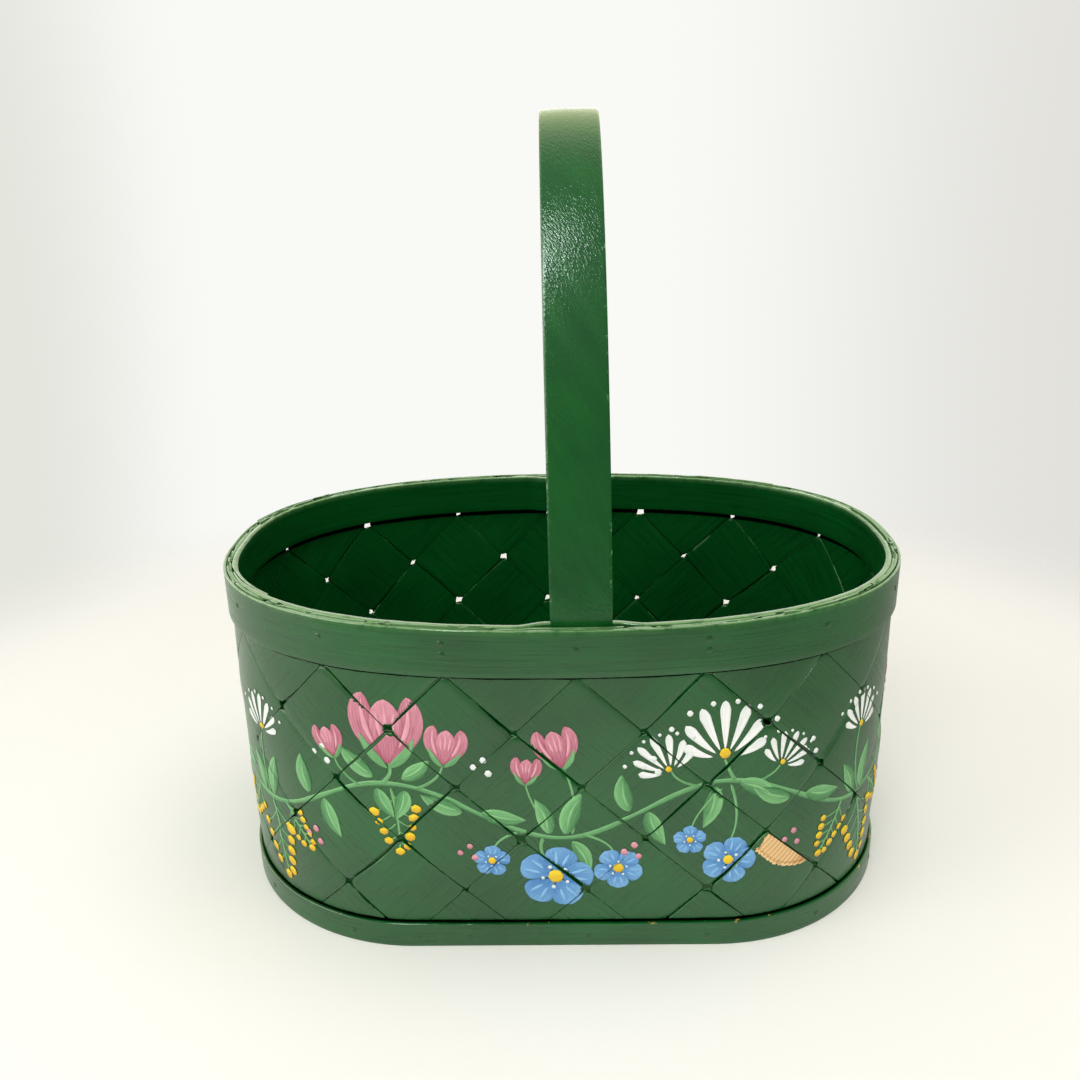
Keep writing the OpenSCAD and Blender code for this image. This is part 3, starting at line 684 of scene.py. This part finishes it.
def cutToCrossings(mark):  # the stroke's faces as (crossing, corners), cut where they cross lattice lines
    p, q = onLattice(mark["grid"])
    notes = [np.broadcast_to(mark[key], p.shape) for key in ("lift", "run", "side", "tone")]
    spots = np.stack([p, q] + notes, -1)
    blocks = np.stack([spots[:-1, :-1], spots[:-1, 1:], spots[1:, 1:], spots[1:, :-1]], 2)
    blocks = blocks[mark["keep"][:-1, :-1]] if "keep" in mark else blocks.reshape(-1, 4, 6)
    pieces = []
    for block in blocks:
        low, high = np.floor(block[:, :2].min(0)).astype(int), np.floor(block[:, :2].max(0)).astype(int)
        for a in range(low[0], high[0] + 1):
            for b in range(low[1], high[1] + 1):
                part = list(block)
                if low[0] != high[0] or low[1] != high[1]:
                    for axis, limit, way in ((0, a, 1), (0, a + 1, -1), (1, b, 1), (1, b + 1, -1)):
                        part = cutAway(part, axis, limit, way)
                if len(part) > 2:
                    pieces.append((a, b, part))
    return pieces


def layFilm(name, marks, material):  # lays strokes on the splint that is uppermost in each crossing
    rows, padded = [], []
    for mark in marks:
        for a, b, part in cutToCrossings(mark):
            first = len(rows)
            rows += [(*spot, a, b, (b - a) % 2 == 0) for spot in part]
            padded.append([first + min(k, len(part) - 1) for k in range(8)])
    spots, inverse = np.unique(np.round(np.array(rows, dtype=float), 6), axis=0, return_inverse=True)
    corners = inverse.reshape(-1)[np.array(padded)]
    column, height = offLattice(*holdToCrossing(*spots[:, [0, 1, 6, 7, 8]].T))
    starts, outward = wallPlaces(column, height, np.full(len(spots), startOut))
    places, good = np.zeros_like(starts), np.zeros(len(spots), bool)
    for k, (start, out) in enumerate(zip(starts, outward)):
        hit = weave.ray_cast(Vector(start), Vector(-out), startOut)
        if hit[0] and startOut - hit[3] > overLayer:
            places[k], good[k] = hit[0], True
    corners = corners[good[corners].all(axis=1)]
    x, y = (np.stack([column * wall["columnWidth"], height]))[:, corners]
    area = (x * np.roll(y, -1, axis=1) - np.roll(x, -1, axis=1) * y).sum(axis=1)
    corners = np.where((area < 0)[:, None], corners[:, ::-1], corners)[np.abs(area) > leastArea]
    used, corners = np.unique(corners, return_inverse=True)
    faces = [list(dict.fromkeys(face)) for face in corners.reshape(-1, 8).tolist()]
    top = places[used] + outward[used] * (garland["paintThick"] + spots[used, 2] * mm)[:, None]
    notes = spots[used, 3:6] * (mm, mm, 1)
    mesh = addMesh(name, top.tolist(), faces)
    stroke = mesh.attributes.new("stroke", "FLOAT_VECTOR", "POINT")
    stroke.data.foreach_set("vector", notes.astype(np.float32).ravel())
    shape = bmesh.new()
    shape.from_mesh(mesh)
    bmesh.ops.remove_doubles(shape, verts=shape.verts, dist=closeMarks)
    bmesh.ops.dissolve_degenerate(shape, edges=shape.edges, dist=closeMarks)
    for face in shape.faces:
        face.smooth = True
    shape.to_mesh(mesh)
    shape.free()
    mesh.materials.append(material)
    obj = addObject(name, mesh)
    thicken = obj.modifiers.new("Thickness", "SOLIDIFY")
    thicken.thickness = garland["paintThick"] + garland["underneath"]
    thicken.offset = -1
    return seat(obj, "splint_paint")


def brushedPaint(name, look):
    # acrylic laid with a loaded brush: two tones streaked along each stroke, satin and faintly ridged
    material, node, coat = startMaterial(name)
    stroke = node("Attribute", attribute_name="stroke").outputs["Vector"]
    stretch = (1 / look["hairLong"], 1 / look["hairWide"], 9.0)
    stretch = node("VectorMath", stroke, stretch, operation="MULTIPLY")
    hairs = node("TexNoise", {"Vector": stretch, "Scale": 1.0, "Detail": 3.0, "Roughness": 0.6})
    tone = node("MULTIPLY_ADD", node("SUBTRACT", hairs, 0.5), look["streak"],
                node("SeparateXYZ", stroke).outputs["Z"], use_clamp=True)
    colour = node("Mix", {0: tone, 6: paintColour(look["dark"]), 7: paintColour(look["light"])},
                  data_type="RGBA")
    bump = node("Bump", {"Strength": 1.0, "Distance": 1.0, "Height": node("MULTIPLY", hairs, look["ridge"])})
    coat({"Base Color": colour, "Roughness": look["roughness"], "Normal": bump, "IOR": 1.49})
    return material


# where the face of one splint has torn away: bare ribbed wood with a ragged, lifted lip, and a painted
# shadow just beyond the lip
torn = {"outline": [(-0.02, 3.035), (-0.012, 3.2), (-0.012, 3.44), (-0.012, 3.76), (-0.06, 3.75),
                    (-0.16, 3.63), (-0.23, 3.5), (-0.275, 3.37), (-0.27, 3.06), (-0.235, 3.035),
                    (-0.215, 3.075), (-0.13, 3.05), (-0.09, 3.035)],
        "reach": ((-0.32, 0.0), (3.02, 3.8)), "raggedWaves": (97, 151, 133), "shadeWidth": 0.009,
        "lipFrom": 3, "lipTo": 8, "step": 0.011, "rib": 2.35, "ribHeight": 0.13, "lipWidth": 0.026,
        "lipHeight": 0.3, "ragged": 0.006}  # the outline in lattice places, the lip by its corners


def tornMark():
    pitch = wall["splintPitch"] / mm
    p, q = np.meshgrid(*(np.arange(*ends, torn["step"]) for ends in torn["reach"]), indexing="ij")
    outline = np.array(torn["outline"])
    inside, nearLip = np.zeros(p.shape, bool), np.full(p.shape, 9.0)
    slow, quick, other = torn["raggedWaves"]
    rag = torn["ragged"] * (np.sin(q * slow) + np.sin(q * quick + 2) + np.sin(p * other))
    pr, qr = p + rag, q + rag[:, ::-1] * 0.6
    for k, (a, b) in enumerate(zip(outline, np.roll(outline, -1, axis=0))):
        crosses = (a[1] > qr) != (b[1] > qr)
        slope = (b[0] - a[0]) / (b[1] - a[1]) if b[1] != a[1] else 0
        inside ^= crosses & (pr < a[0] + (qr - a[1]) * slope)
        if torn["lipFrom"] <= k <= torn["lipTo"]:
            run = b - a
            t = np.clip(((pr - a[0]) * run[0] + (qr - a[1]) * run[1]) / (run @ run), 0, 1)
            nearLip = np.minimum(nearLip, np.hypot(pr - a[0] - t * run[0], qr - a[1] - t * run[1]))
    column, height = offLattice(p, q)
    waves = np.cos(q * pitch / torn["rib"] * 2 * math.pi + np.sin(p * 21) * 0.5)
    lip = np.clip(1 - nearLip / torn["lipWidth"], 0, 1)
    # painted shadow: a dark band just beyond the lifted lip
    behind = np.exp(-((nearLip - 1.6 * torn["lipWidth"]) / torn["shadeWidth"]) ** 2)
    tip = np.clip((q - 3.55) / 0.2, 0, 1)
    tone = 0.62 + 0.24 * waves + 0.5 * lip - 0.55 * behind - 0.45 * tip
    return {"grid": np.stack([column * wall["columnWidth"] / mm, height / mm], -1), "tone": tone,
            "lift": torn["ribHeight"] * (waves + 1) / 2 + torn["lipHeight"] * lip, "keep": inside,
            "run": p * pitch, "side": q * pitch}


brushLook = {"hairLong": 9 * mm, "hairWide": 0.45 * mm, "streak": 1.3, "ridge": 0.08 * mm, "roughness": 0.45}
brushColours = {"green": ("#347540", "#86c684"), "rose": ("#9c3554", "#eaa6b7"),
                "blue": ("#2f74b8", "#8cc3ef"), "white": ("#c9d6d2", "#fdfefc"),
                "gold": ("#c4850a", "#ffdf24")}
for colour, (dark, light) in brushColours.items():
    look = {**brushLook, "dark": dark, "light": light}
    layFilm("painted" + colour.capitalize(), brushMarks[colour],
            brushedPaint("acrylic" + colour.capitalize(), look))
layFilm("tornSplint", [tornMark()], brushedPaint("bareSplintWood", {  # raw wood, dry and ribbed by the tear
    "hairLong": 30 * mm, "hairWide": 0.35 * mm, "streak": 0.5, "ridge": 0.1 * mm, "roughness": 0.7,
    "dark": "#b67c3c", "light": "#fdd9a0"}))
print("garland ready:", sum(len(m) for m in brushMarks.values()), "strokes")

# bands: bent strips with thinned laps
bandSizes = {"Side": 1.0, "Low": wall["topRow"], "High": 181.4 * mm, "Thickness": 1.6 * mm,
             "Lap Column": 10 + 4 / 6, "Lap Length": 4 / 6, "Lap Tip": 0.35, "Lap Fit": 0.2 * mm,
             "Pocket Depth": 0.0, "Pocket Run": 15 * mm, "Leg Middle": wall["legMiddle"],
             "Leg Reach": 15.5 * mm, "Top Wave": 0.5 * mm, "Low Wave": 0.5 * mm,
             "Edge Rounding": 0.35 * mm, "Seed": 1.0}
bandRows = {"around": 801, "across": 13, "flatShare": 4 / 6, "innerShare": 0.95, "climb": 6.0,
            "waveRates": {"Low": 1.7, "Top": 2.3}, "wearAndSheenFrom": (0.94, 0.975)}
bands = {"outerRimBand": ("outer_rim_band", rimPaint, {}),
         "innerRimBand": ("inner_rim_band", rimPaint,
                          {"Side": -1.0, "Low": 159.3 * mm, "Thickness": 3.2 * mm, "Lap Column": 12 + 4 / 6,
                           "Pocket Depth": 3.57 * mm, "Edge Rounding": 0.5 * mm, "Seed": 6.0}),
         "bottomBand": ("bottom_band", footPaint,
                        {"Low": 0.0, "High": 14 * mm, "Thickness": 2 * mm, "Lap Column": 5 + 4 / 6,
                         "Low Wave": 0.0, "Top Wave": 0.8 * mm, "Seed": 11.0})}


def buildBandTree():
    tree, node, given, here = startTree("bentBand", bandSizes)
    side, thickness = given["Side"], given["Thickness"]
    block = node("GeometryNodeMeshCube", {"Size": (1, 2, 2), "Vertices X": bandRows["around"],
                                          "Vertices Y": bandRows["across"], "Vertices Z": 2})
    # once round and on over its own start, thinning to a tip at both ends
    full = node("ADD", given["Lap Length"], wall["columns"])
    past = node("MULTIPLY", node("ADD", here["X"], 0.5), full)
    column = node("ADD", past, given["Lap Column"])
    over = node("SUBTRACT", past, wall["columns"])
    tail = node("DIVIDE", over, given["Lap Length"], use_clamp=True)
    start = node("DIVIDE", past, given["Lap Length"], use_clamp=True)
    climb = node("MULTIPLY_ADD", over, bandRows["climb"], 1.0, use_clamp=True)
    tip = node("MULTIPLY", thickness, given["Lap Tip"])
    step = node("ADD", tip, given["Lap Fit"])
    body = node("SUBTRACT", thickness, tip)
    near = node("MULTIPLY_ADD", body, tail, node("MULTIPLY", step, climb))
    far = node("MULTIPLY_ADD", step, tail, node("MULTIPLY_ADD", body, start, tip))
    reachOut, _, drop = edgeRows(node, here["Y"], bandRows["flatShare"], bandRows["innerShare"],
                                 given["Edge Rounding"])
    face = node("MULTIPLY_ADD", node("MULTIPLY", here["Z"], side), 0.5, 0.5)
    deep = node("Mix", face, None, node("ADD", near, drop), node("SUBTRACT", far, drop))
    # the edges wave a little
    upDown = node("MULTIPLY", node("SIGN", here["Y"]), reachOut)
    levels = []
    for edge, word in (("Low", "Low"), ("High", "Top")):
        place = node("MULTIPLY_ADD", column, bandRows["waveRates"][word], given["Seed"])
        shift = node("TexNoise", {"W": place, "Scale": 1.0, "Detail": 3.0}, noise_dimensions="1D")
        shift = node("MULTIPLY", node("SUBTRACT", shift, 0.5), given[word + " Wave"])
        levels.append(node("ADD", given[edge], shift))
    height = node("Mix", node("MULTIPLY_ADD", upDown, 0.5, 0.5), None, *levels)
    # over the handle's legs the inner band steps in
    flat = node("GeometryNodeGroup", {"Column": column, "Height": height}, node_tree=wallPlace)
    sideways = node("SeparateXYZ", flat.outputs["Position"]).outputs["X"]
    away = node("ABSOLUTE", node("SUBTRACT", sideways, given["Leg Middle"]))
    away = node("SUBTRACT", away, given["Leg Reach"])
    pocket = node("MapRange", away, 0.0, given["Pocket Run"], 1.0, 0.0, **smooth)
    deep = node("ADD", node("MULTIPLY_ADD", pocket, given["Pocket Depth"], deep), wall["skin"])
    run = node("MULTIPLY", column, wall["columnWidth"])
    # the top edge is marked for the pale colour: on the rim bands partly wear and partly painted sheen, on
    # the foot band wear
    notes = {"grain": node("CombineXYZ", run, height, given["Seed"]),
             "worn": node("MapRange", upDown, *bandRows["wearAndSheenFrom"]),
             "inward": node("MULTIPLY_ADD", here["Z"], -0.5, 0.5)}
    onWall = node("GeometryNodeGroup", {"Column": column, "Depth": node("MULTIPLY", deep, side),
                                        "Height": height}, node_tree=wallPlace).outputs
    return finishTree(tree, given, block, onWall["Position"], notes)


bandTree = buildBandTree()
for name, (cadNode, paint, sizes) in bands.items():
    seat(growPiece(name, bandTree, sizes, paint), "band_paint", cadNode)
print("bands ready")

# handle: one bent strip on its hoop line
hoop = {"rise": 217 * mm, "fullness": 1.8, "steps": 96, "along": 361, "across": 41,
        "flatShare": 0.85, "innerShare": 0.9}
handleSizes = {"Middle": wall["legMiddle"], "Width": 28 * mm, "Thickness": 3.0 * mm, "Lean": 0.6,
               "Crown": 0.4 * mm, "Edge Rounding": 0.4 * mm, "Ridge Height": 0.12 * mm,
               "Ridge Width": 11 * mm, "Ridge Length": 70 * mm, "Seed": 2.0}


def legDistance(height):  # the wall's middle where a flat leg's edges come nearest to it
    edges = handleSizes["Middle"] + handleSizes["Width"] / 2 * np.array([-1, 1])
    columns = edges / wall["columnWidth"] - columnShift(height)
    return -wallMiddle(columns, np.array([height, height]))[:, 1].max()


def hoopPath():
    gap = wall["skin"] + handleSizes["Thickness"] / 2
    rim, foot = legDistance(wall["height"]) - gap, legDistance(0.0) - gap
    lean = (rim - foot) / wall["height"]
    side = [(legDistance(h) - gap, h) for h in np.linspace(wall["legFoot"], wall["height"], 9)[:-1]]
    for k in range(hoop["steps"] + 1):
        turn = math.pi / 2 * k / hoop["steps"]
        up = math.sin(turn) ** (2 / hoop["fullness"])
        out = max(math.cos(turn), 0) ** (2 / hoop["fullness"])
        out = rim * out + lean * hoop["rise"] * up * (1 - up) ** 2
        side.append((out, wall["height"] + hoop["rise"] * up))
    return [(0, -y, z) for y, z in side] + [(0, y, z) for y, z in reversed(side[:-1])]


hoopPoints = hoopPath()
hoopLength = sum((Vector(a) - Vector(b)).length for a, b in zip(hoopPoints, hoopPoints[1:]))
hoopLine = lineObject("hoopLine", hoopPoints, False)


def buildHandleTree():
    tree, node, given, here = startTree("bentHandle", handleSizes)
    block = node("GeometryNodeMeshCube", {"Size": (1, 2, 2), "Vertices X": hoop["along"],
                                          "Vertices Y": hoop["across"], "Vertices Z": 2})
    share = node("ADD", here["X"], 0.5)
    line = node("GeometryNodeObjectInfo", {"Object": hoopLine}).outputs["Geometry"]
    sample = node("GeometryNodeSampleCurve", {"Curves": line, "Factor": share}, mode="FACTOR").outputs
    outward = node("VectorMath", (1, 0, 0), sample["Tangent"], operation="CROSS_PRODUCT")
    outward = node("VectorMath", outward, operation="NORMALIZE")
    reachOut, edge, drop = edgeRows(node, here["Y"], hoop["flatShare"], hoop["innerShare"],
                                    given["Edge Rounding"])
    side = node("MULTIPLY", node("SIGN", here["Y"]), reachOut)
    sideways = node("MULTIPLY", side, node("MULTIPLY", given["Width"], -0.5))
    run = node("MULTIPLY", share, hoopLength)
    # ridges of the grain stand out under the paint
    place = [node("DIVIDE", run, given["Ridge Length"]), node("DIVIDE", sideways, given["Ridge Width"])]
    place = node("CombineXYZ", *place, given["Seed"])
    ridge = node("TexNoise", {"Vector": place, "Scale": 1.0, "Detail": 2.0})
    ridge = node("MULTIPLY", node("SUBTRACT", ridge, 0.5), given["Ridge Height"])
    thick = node("SUBTRACT", node("MULTIPLY", given["Thickness"], 0.5), drop)
    thick = node("SUBTRACT", thick, node("MULTIPLY", node("MULTIPLY", side, side), given["Crown"]))
    depth = node("MULTIPLY", node("ADD", thick, ridge), here["Z"])
    push = node("VectorMath", {0: outward, "Scale": depth}, operation="SCALE")
    shift = node("CombineXYZ", node("ADD", sideways, given["Middle"]))
    place = node("VectorMath", sample["Position"], push, operation="ADD")
    place = node("VectorMath", place, shift, operation="ADD")
    pivot = node("CombineXYZ", {"X": given["Middle"], "Z": wall["height"]})
    tilt = node("MULTIPLY", given["Lean"], -math.pi / 180)
    place = node("VectorRotate", {"Vector": place, "Center": pivot, "Angle": tilt}, rotation_type="Y_AXIS")
    notes = {"grain": node("CombineXYZ", run, sideways, given["Seed"]), "worn": edge}
    return finishTree(tree, given, block, place, notes)


seat(growPiece("bentHandle", buildHandleTree(), {}, handlePaint), "handle_paint", "handle")
print("handle ready")

# nails: one form, set on the wall with its head out
nail = {"shank": 1.6 * mm, "head": 3.4 * mm, "dome": 0.34 * mm, "sides": 20, "seatGap": 0.05 * mm,
        "rimLevels": (168.99, 171.72, 174.45), "pairColumns": (1, 15), "footLevel": 5.5,
        "legLevels": (164.825, 175.875), "legAside": 14.8 * mm}  # the levels in millimetres


def nailForm(length):
    r, rise, shank, n = nail["head"] / 2, nail["dome"], nail["shank"] / 2, nail["sides"]
    profile = [(0.001 * mm, rise), (r * 0.35, rise * 0.94), (r * 0.68, rise * 0.72), (r * 0.9, rise * 0.42),
               (r, rise * 0.1), (r * 0.97, -0.02 * mm), (shank, -0.03 * mm),
               (shank, nail["shank"] - length), (0.001 * mm, -length)]
    verts = [(radius * math.cos(2 * math.pi * k / n), radius * math.sin(2 * math.pi * k / n), level)
             for radius, level in profile for k in range(n)]
    faces = []
    for ring in range(len(profile) - 1):
        for k in range(n):
            a, b = ring * n + k, ring * n + (k + 1) % n
            faces.append((a, a + n, b + n, b))
    faces += [tuple(range(n)), tuple(reversed(range(len(verts) - n, len(verts))))]
    return addObject("nailForm", addMesh("nailForm", verts, faces))


def buildNailTree(form):
    tree, node, given, here = startTree("wallNails", {"Head Scale": 1.0})
    onWall = node("GeometryNodeGroup", {"Column": here["X"], "Depth": here["Y"], "Height": here["Z"]},
                  node_tree=wallPlace).outputs
    facing = node("SIGN", here["Y"])
    facing = node("VectorMath", {0: onWall["Outward"], "Scale": facing}, operation="SCALE")
    points = node("GeometryNodeStoreNamedAttribute",
                  {"Geometry": given["Geometry"], "Name": "facing", "Value": facing},
                  data_type="FLOAT_VECTOR")
    points = node("GeometryNodeSetPosition", {"Geometry": points, "Position": onWall["Position"]})
    kept = node("GeometryNodeInputNamedAttribute", {"Name": "facing"}, data_type="FLOAT_VECTOR")
    form = node("GeometryNodeObjectInfo", {"Object": form}).outputs["Geometry"]
    turned = node("FunctionNodeAlignRotationToVector", {"Vector": kept.outputs["Attribute"]})
    shape = node("GeometryNodeInstanceOnPoints",
                 {"Points": node("GeometryNodeMeshToPoints", {"Mesh": points}), "Instance": form,
                  "Rotation": turned, "Scale": node("CombineXYZ", *(given["Head Scale"],) * 3)})
    return finishTree(tree, given, node("GeometryNodeRealizeInstances", {"Geometry": shape}), sharpAngle=1.2)


def bandFace(name, column):  # how far out a nail's head sits, also where the band's ends lap
    sizes = {**bandSizes, **bands[name][2]}
    past = (column - sizes["Lap Column"]) / sizes["Lap Length"]
    lap = (sizes["Lap Tip"] * sizes["Thickness"] + sizes["Lap Fit"]) * past if 0 < past < 1 else 0
    deep = wall["skin"] + sizes["Pocket Depth"] + sizes["Thickness"] + nail["seatGap"] + lap
    return deep * sizes["Side"]


rimPlaces, footPlaces = [], []
for column in range(wall["columns"]):
    low, middle, high = nail["rimLevels"]
    levels = (low, high) if column in nail["pairColumns"] else (middle,)
    rimPlaces += [(column, bandFace("outerRimBand", column), level * mm) for level in levels]
    footPlaces.append((column, bandFace("bottomBand", column), nail["footLevel"] * mm))
legColumn, legShift = nail["legAside"] / wall["columnWidth"], columnShift(sum(nail["legLevels"]) / 2 * mm)
legPlaces = [(column - legShift, bandFace("innerRimBand", column), level * mm)
             for column in (legColumn, 8 - legColumn) for level in nail["legLevels"]]
for name, places, length, cadNode in (("rimNails", rimPlaces, 6.4 * mm, "rim_nails"),
                                      ("bottomNails", footPlaces, 12 * mm, "bottom_nails"),
                                      ("handleNails", legPlaces, 9.6 * mm, "handle_nails")):
    form = nailForm(length)
    seat(growPiece(name, buildNailTree(form), {}, nailPaint, addMesh(name, places)), "nail_paint", cadNode)
    bpy.data.objects.remove(form)
print("nails ready")

# base board inside the foot
board = {"low": 1.5 * mm, "thickness": 8 * mm, "rounding": 0.6 * mm, "stations": 192,
         "rings": (0.2, 0.45, 0.7, 0.9)}


def layBoard():
    n, low, r = board["stations"], board["low"], board["rounding"]
    high = low + board["thickness"]
    columns = np.arange(n) / n * wall["columns"]
    outline = wallPlaces(columns, np.full(n, low), np.full(n, -wall["skin"]))[0][:, :2]
    inset = outline * (1 - r / np.linalg.norm(outline, axis=1, keepdims=True))
    loops = [(outline * s, low) for s in board["rings"]]
    loops += [(inset, low), (outline, low + r), (outline, high - r), (inset, high)]
    loops += [(outline * s, high) for s in reversed(board["rings"])]
    loops = [np.c_[flat, np.full(n, level)] for flat, level in loops]
    verts = np.vstack(loops + [[[0, 0, low], [0, 0, high]]])
    faces = [(k * n + j, k * n + (j + 1) % n, (k + 1) * n + (j + 1) % n, (k + 1) * n + j)
             for k in range(len(loops) - 1) for j in range(n)]
    last, count = (len(loops) - 1) * n, len(loops) * n
    faces += [((j + 1) % n, j, count) for j in range(n)]
    faces += [(last + j, last + (j + 1) % n, count + 1) for j in range(n)]
    mesh = addMesh("baseBoard", verts.tolist(), faces)
    grain = mesh.attributes.new("grain", "FLOAT_VECTOR", "POINT")
    grain.data.foreach_set("vector", verts.astype(np.float32).ravel())
    mesh.materials.append(boardPaint)
    return addObject("baseBoard", mesh)


seat(layBoard(), "board_paint", "base_board")
print("board ready")

# camera, floor and light
view = {"place": (-0.103, -540.20, 382.52), "right": (0.99973, 0.01262, -0.01940),
        "up": (0.01372, 0.35152, 0.93608), "ahead": (-0.01863, 0.93610, -0.35125), "lens": 34.897}
lens = bpy.data.cameras.new("camera")
lens.lens, lens.sensor_width = view["lens"], 36
lens.clip_start, lens.clip_end = 0.01, 50
camera = addObject("camera", lens)
turned = Matrix([view["right"], view["up"], [-a for a in view["ahead"]]]).transposed().to_4x4()
camera.matrix_world = Matrix.Translation(Vector(view["place"]) * mm) @ turned
bpy.context.scene.camera = camera

studio = {"floor": "#fbf9f4", "floorHalf": 15, "fill": 0.56, "seamless": (0.42, 0.7), "cameraSide": 0.24,
          "windowSide": 4.2, "backLight": 2.3, "frontCeiling": 0.5, "ceiling": (0.3, 0.9),
          "behind": (-0.1, 0.65), "window": (-0.35, -0.85), "frontFlag": (-0.5, -0.32),
          "rightFlag": (0.05, 0.5), "rightSide": 0.5, "glossFront": "#fffdf4", "glossBehind": "#edf2c2",
          "glossRise": (0.2, 0.55)}
backdrop = {"start": "#e4e5dd", "tones": (("X", (-0.46, -0.3), 1.0, "#f9f9f6"),
                                          ("X", (0.08, 0.46), 1.0, "#e2e1dc"),
                                          ("Z", (-0.36, -0.41), 0.6, "#fffdf7"))}


def backTone(node, parts):  # the white sheet behind, darker to both ends, and the paper in front of it
    tone = paintColour(backdrop["start"])
    for axis, limits, full, code in backdrop["tones"]:
        share = node("MapRange", parts[axis], *limits, 0.0, full, **smooth)
        tone = node("Mix", {0: share, 6: tone, 7: paintColour(code)}, data_type="RGBA")
    return tone


def layFloor():  # pale paper near the basket, which fades into the sheet behind without a line
    half = studio["floorHalf"]
    corners = [(-half, -half, 0), (half, -half, 0), (half, half, 0), (-half, half, 0)]
    plane = addMesh("floor", corners, [(0, 1, 2, 3)])
    addObject("floor", plane)
    paper, node, coat = startMaterial("floorPaper")  # matt paper: even and pale, with no highlight
    coord = node("TexCoord").outputs["Object"]
    parts = node("SeparateXYZ", coord).outputs
    ray = node("LightPath").outputs
    far = node("MapRange", node("VectorMath", coord, operation="LENGTH"), *studio["seamless"], **smooth)
    # the darker camera side and right side of the room show in the gloss only
    flag = node("MapRange", parts["Y"], *studio["frontFlag"], studio["cameraSide"], 1.0, **smooth)
    right = node("MapRange", parts["X"], *studio["rightFlag"], 1.0, studio["rightSide"], **smooth)
    flag = node("Mix", ray["Is Glossy Ray"], None, 1.0, node("MULTIPLY", flag, right))
    tint = {0: paintColour(studio["floor"])[:3], "Scale": flag}
    coat({"Base Color": node("VectorMath", tint, operation="SCALE"), "Roughness": 0.85})
    nodes = paper.node_tree.nodes
    both = node("MixShader", node("MULTIPLY", far, ray["Is Camera Ray"]), nodes["Principled BSDF"],
                node("BsdfTransparent"))
    feed(paper.node_tree, nodes["Material Output"], {"Surface": both})
    plane.materials.append(paper)


def lightWorld():  # even fill on the basket, the pale sheet to the camera, room light and dark in the gloss
    sky = bpy.data.worlds.new("studio")
    bpy.context.scene.world = sky
    sky.use_nodes = True
    node = partial(addNode, sky.node_tree)
    parts = node("SeparateXYZ", node("TexCoord").outputs["Generated"]).outputs
    ray = node("LightPath").outputs
    glossy, seen = ray["Is Glossy Ray"], node("MAXIMUM", ray["Is Camera Ray"], ray["Is Transmission Ray"])
    front = node("MapRange", parts["Z"], *studio["ceiling"], studio["cameraSide"], studio["frontCeiling"],
                 **smooth)
    behind = node("MapRange", parts["Y"], *studio["behind"], **smooth)
    window = node("MapRange", parts["X"], *studio["window"], 0.0, studio["windowSide"], **smooth)
    room = node("MAXIMUM", window, node("Mix", behind, None, front, studio["backLight"]))
    level = node("Mix", seen, None, node("Mix", glossy, None, studio["fill"], room), 1.0)
    raised = node("MULTIPLY", node("MapRange", parts["Z"], *studio["glossRise"]), behind)
    tone = paintColour(studio["glossFront"])
    for share, other in ((node("MULTIPLY", raised, glossy), paintColour(studio["glossBehind"])),
                         (seen, backTone(node, parts))):
        tone = node("Mix", {0: share, 6: tone, 7: other}, data_type="RGBA")
    feed(sky.node_tree, sky.node_tree.nodes["Background"], {"Strength": level, "Color": tone})


def softLamp(name, place, aim, size, power, lights=True, mirrored=True, tint="#ffffff"):
    light = bpy.data.lights.new(name, "AREA")
    light.shape, light.size, light.energy, light.color = "DISK", size, power, paintColour(tint)[:3]
    lamp = addObject(name, light)
    lamp.location = place
    lamp.rotation_euler = (Vector(aim) - Vector(place)).to_track_quat("-Z", "Y").to_euler()
    lamp.visible_diffuse, lamp.visible_glossy = lights, mirrored


layFloor()
lightWorld()
softLamp("windowLamp", (-1.9, -0.86, 1.65), (0, 0, 0.12), 1.3, 10)
softLamp("topLamp", (0.3, -0.15, 1.65), (0, 0, 0.1), 1.1, 7, mirrored=False)
softLamp("frontLamp", (-0.3, -1.35, 1.5), (0, 0, 0.05), 1.2, 12.5, mirrored=False)
softLamp("glintLamp", (-0.46, -0.83, 1.4), (0, 0, 0.3), 0.34, 10, lights=False, tint="#e6f7f1")
bpy.context.scene.view_settings.view_transform = "Standard"
print("studio ready")

for line in (footLine, rimLine, hoopLine):
    bpy.data.objects.remove(line)
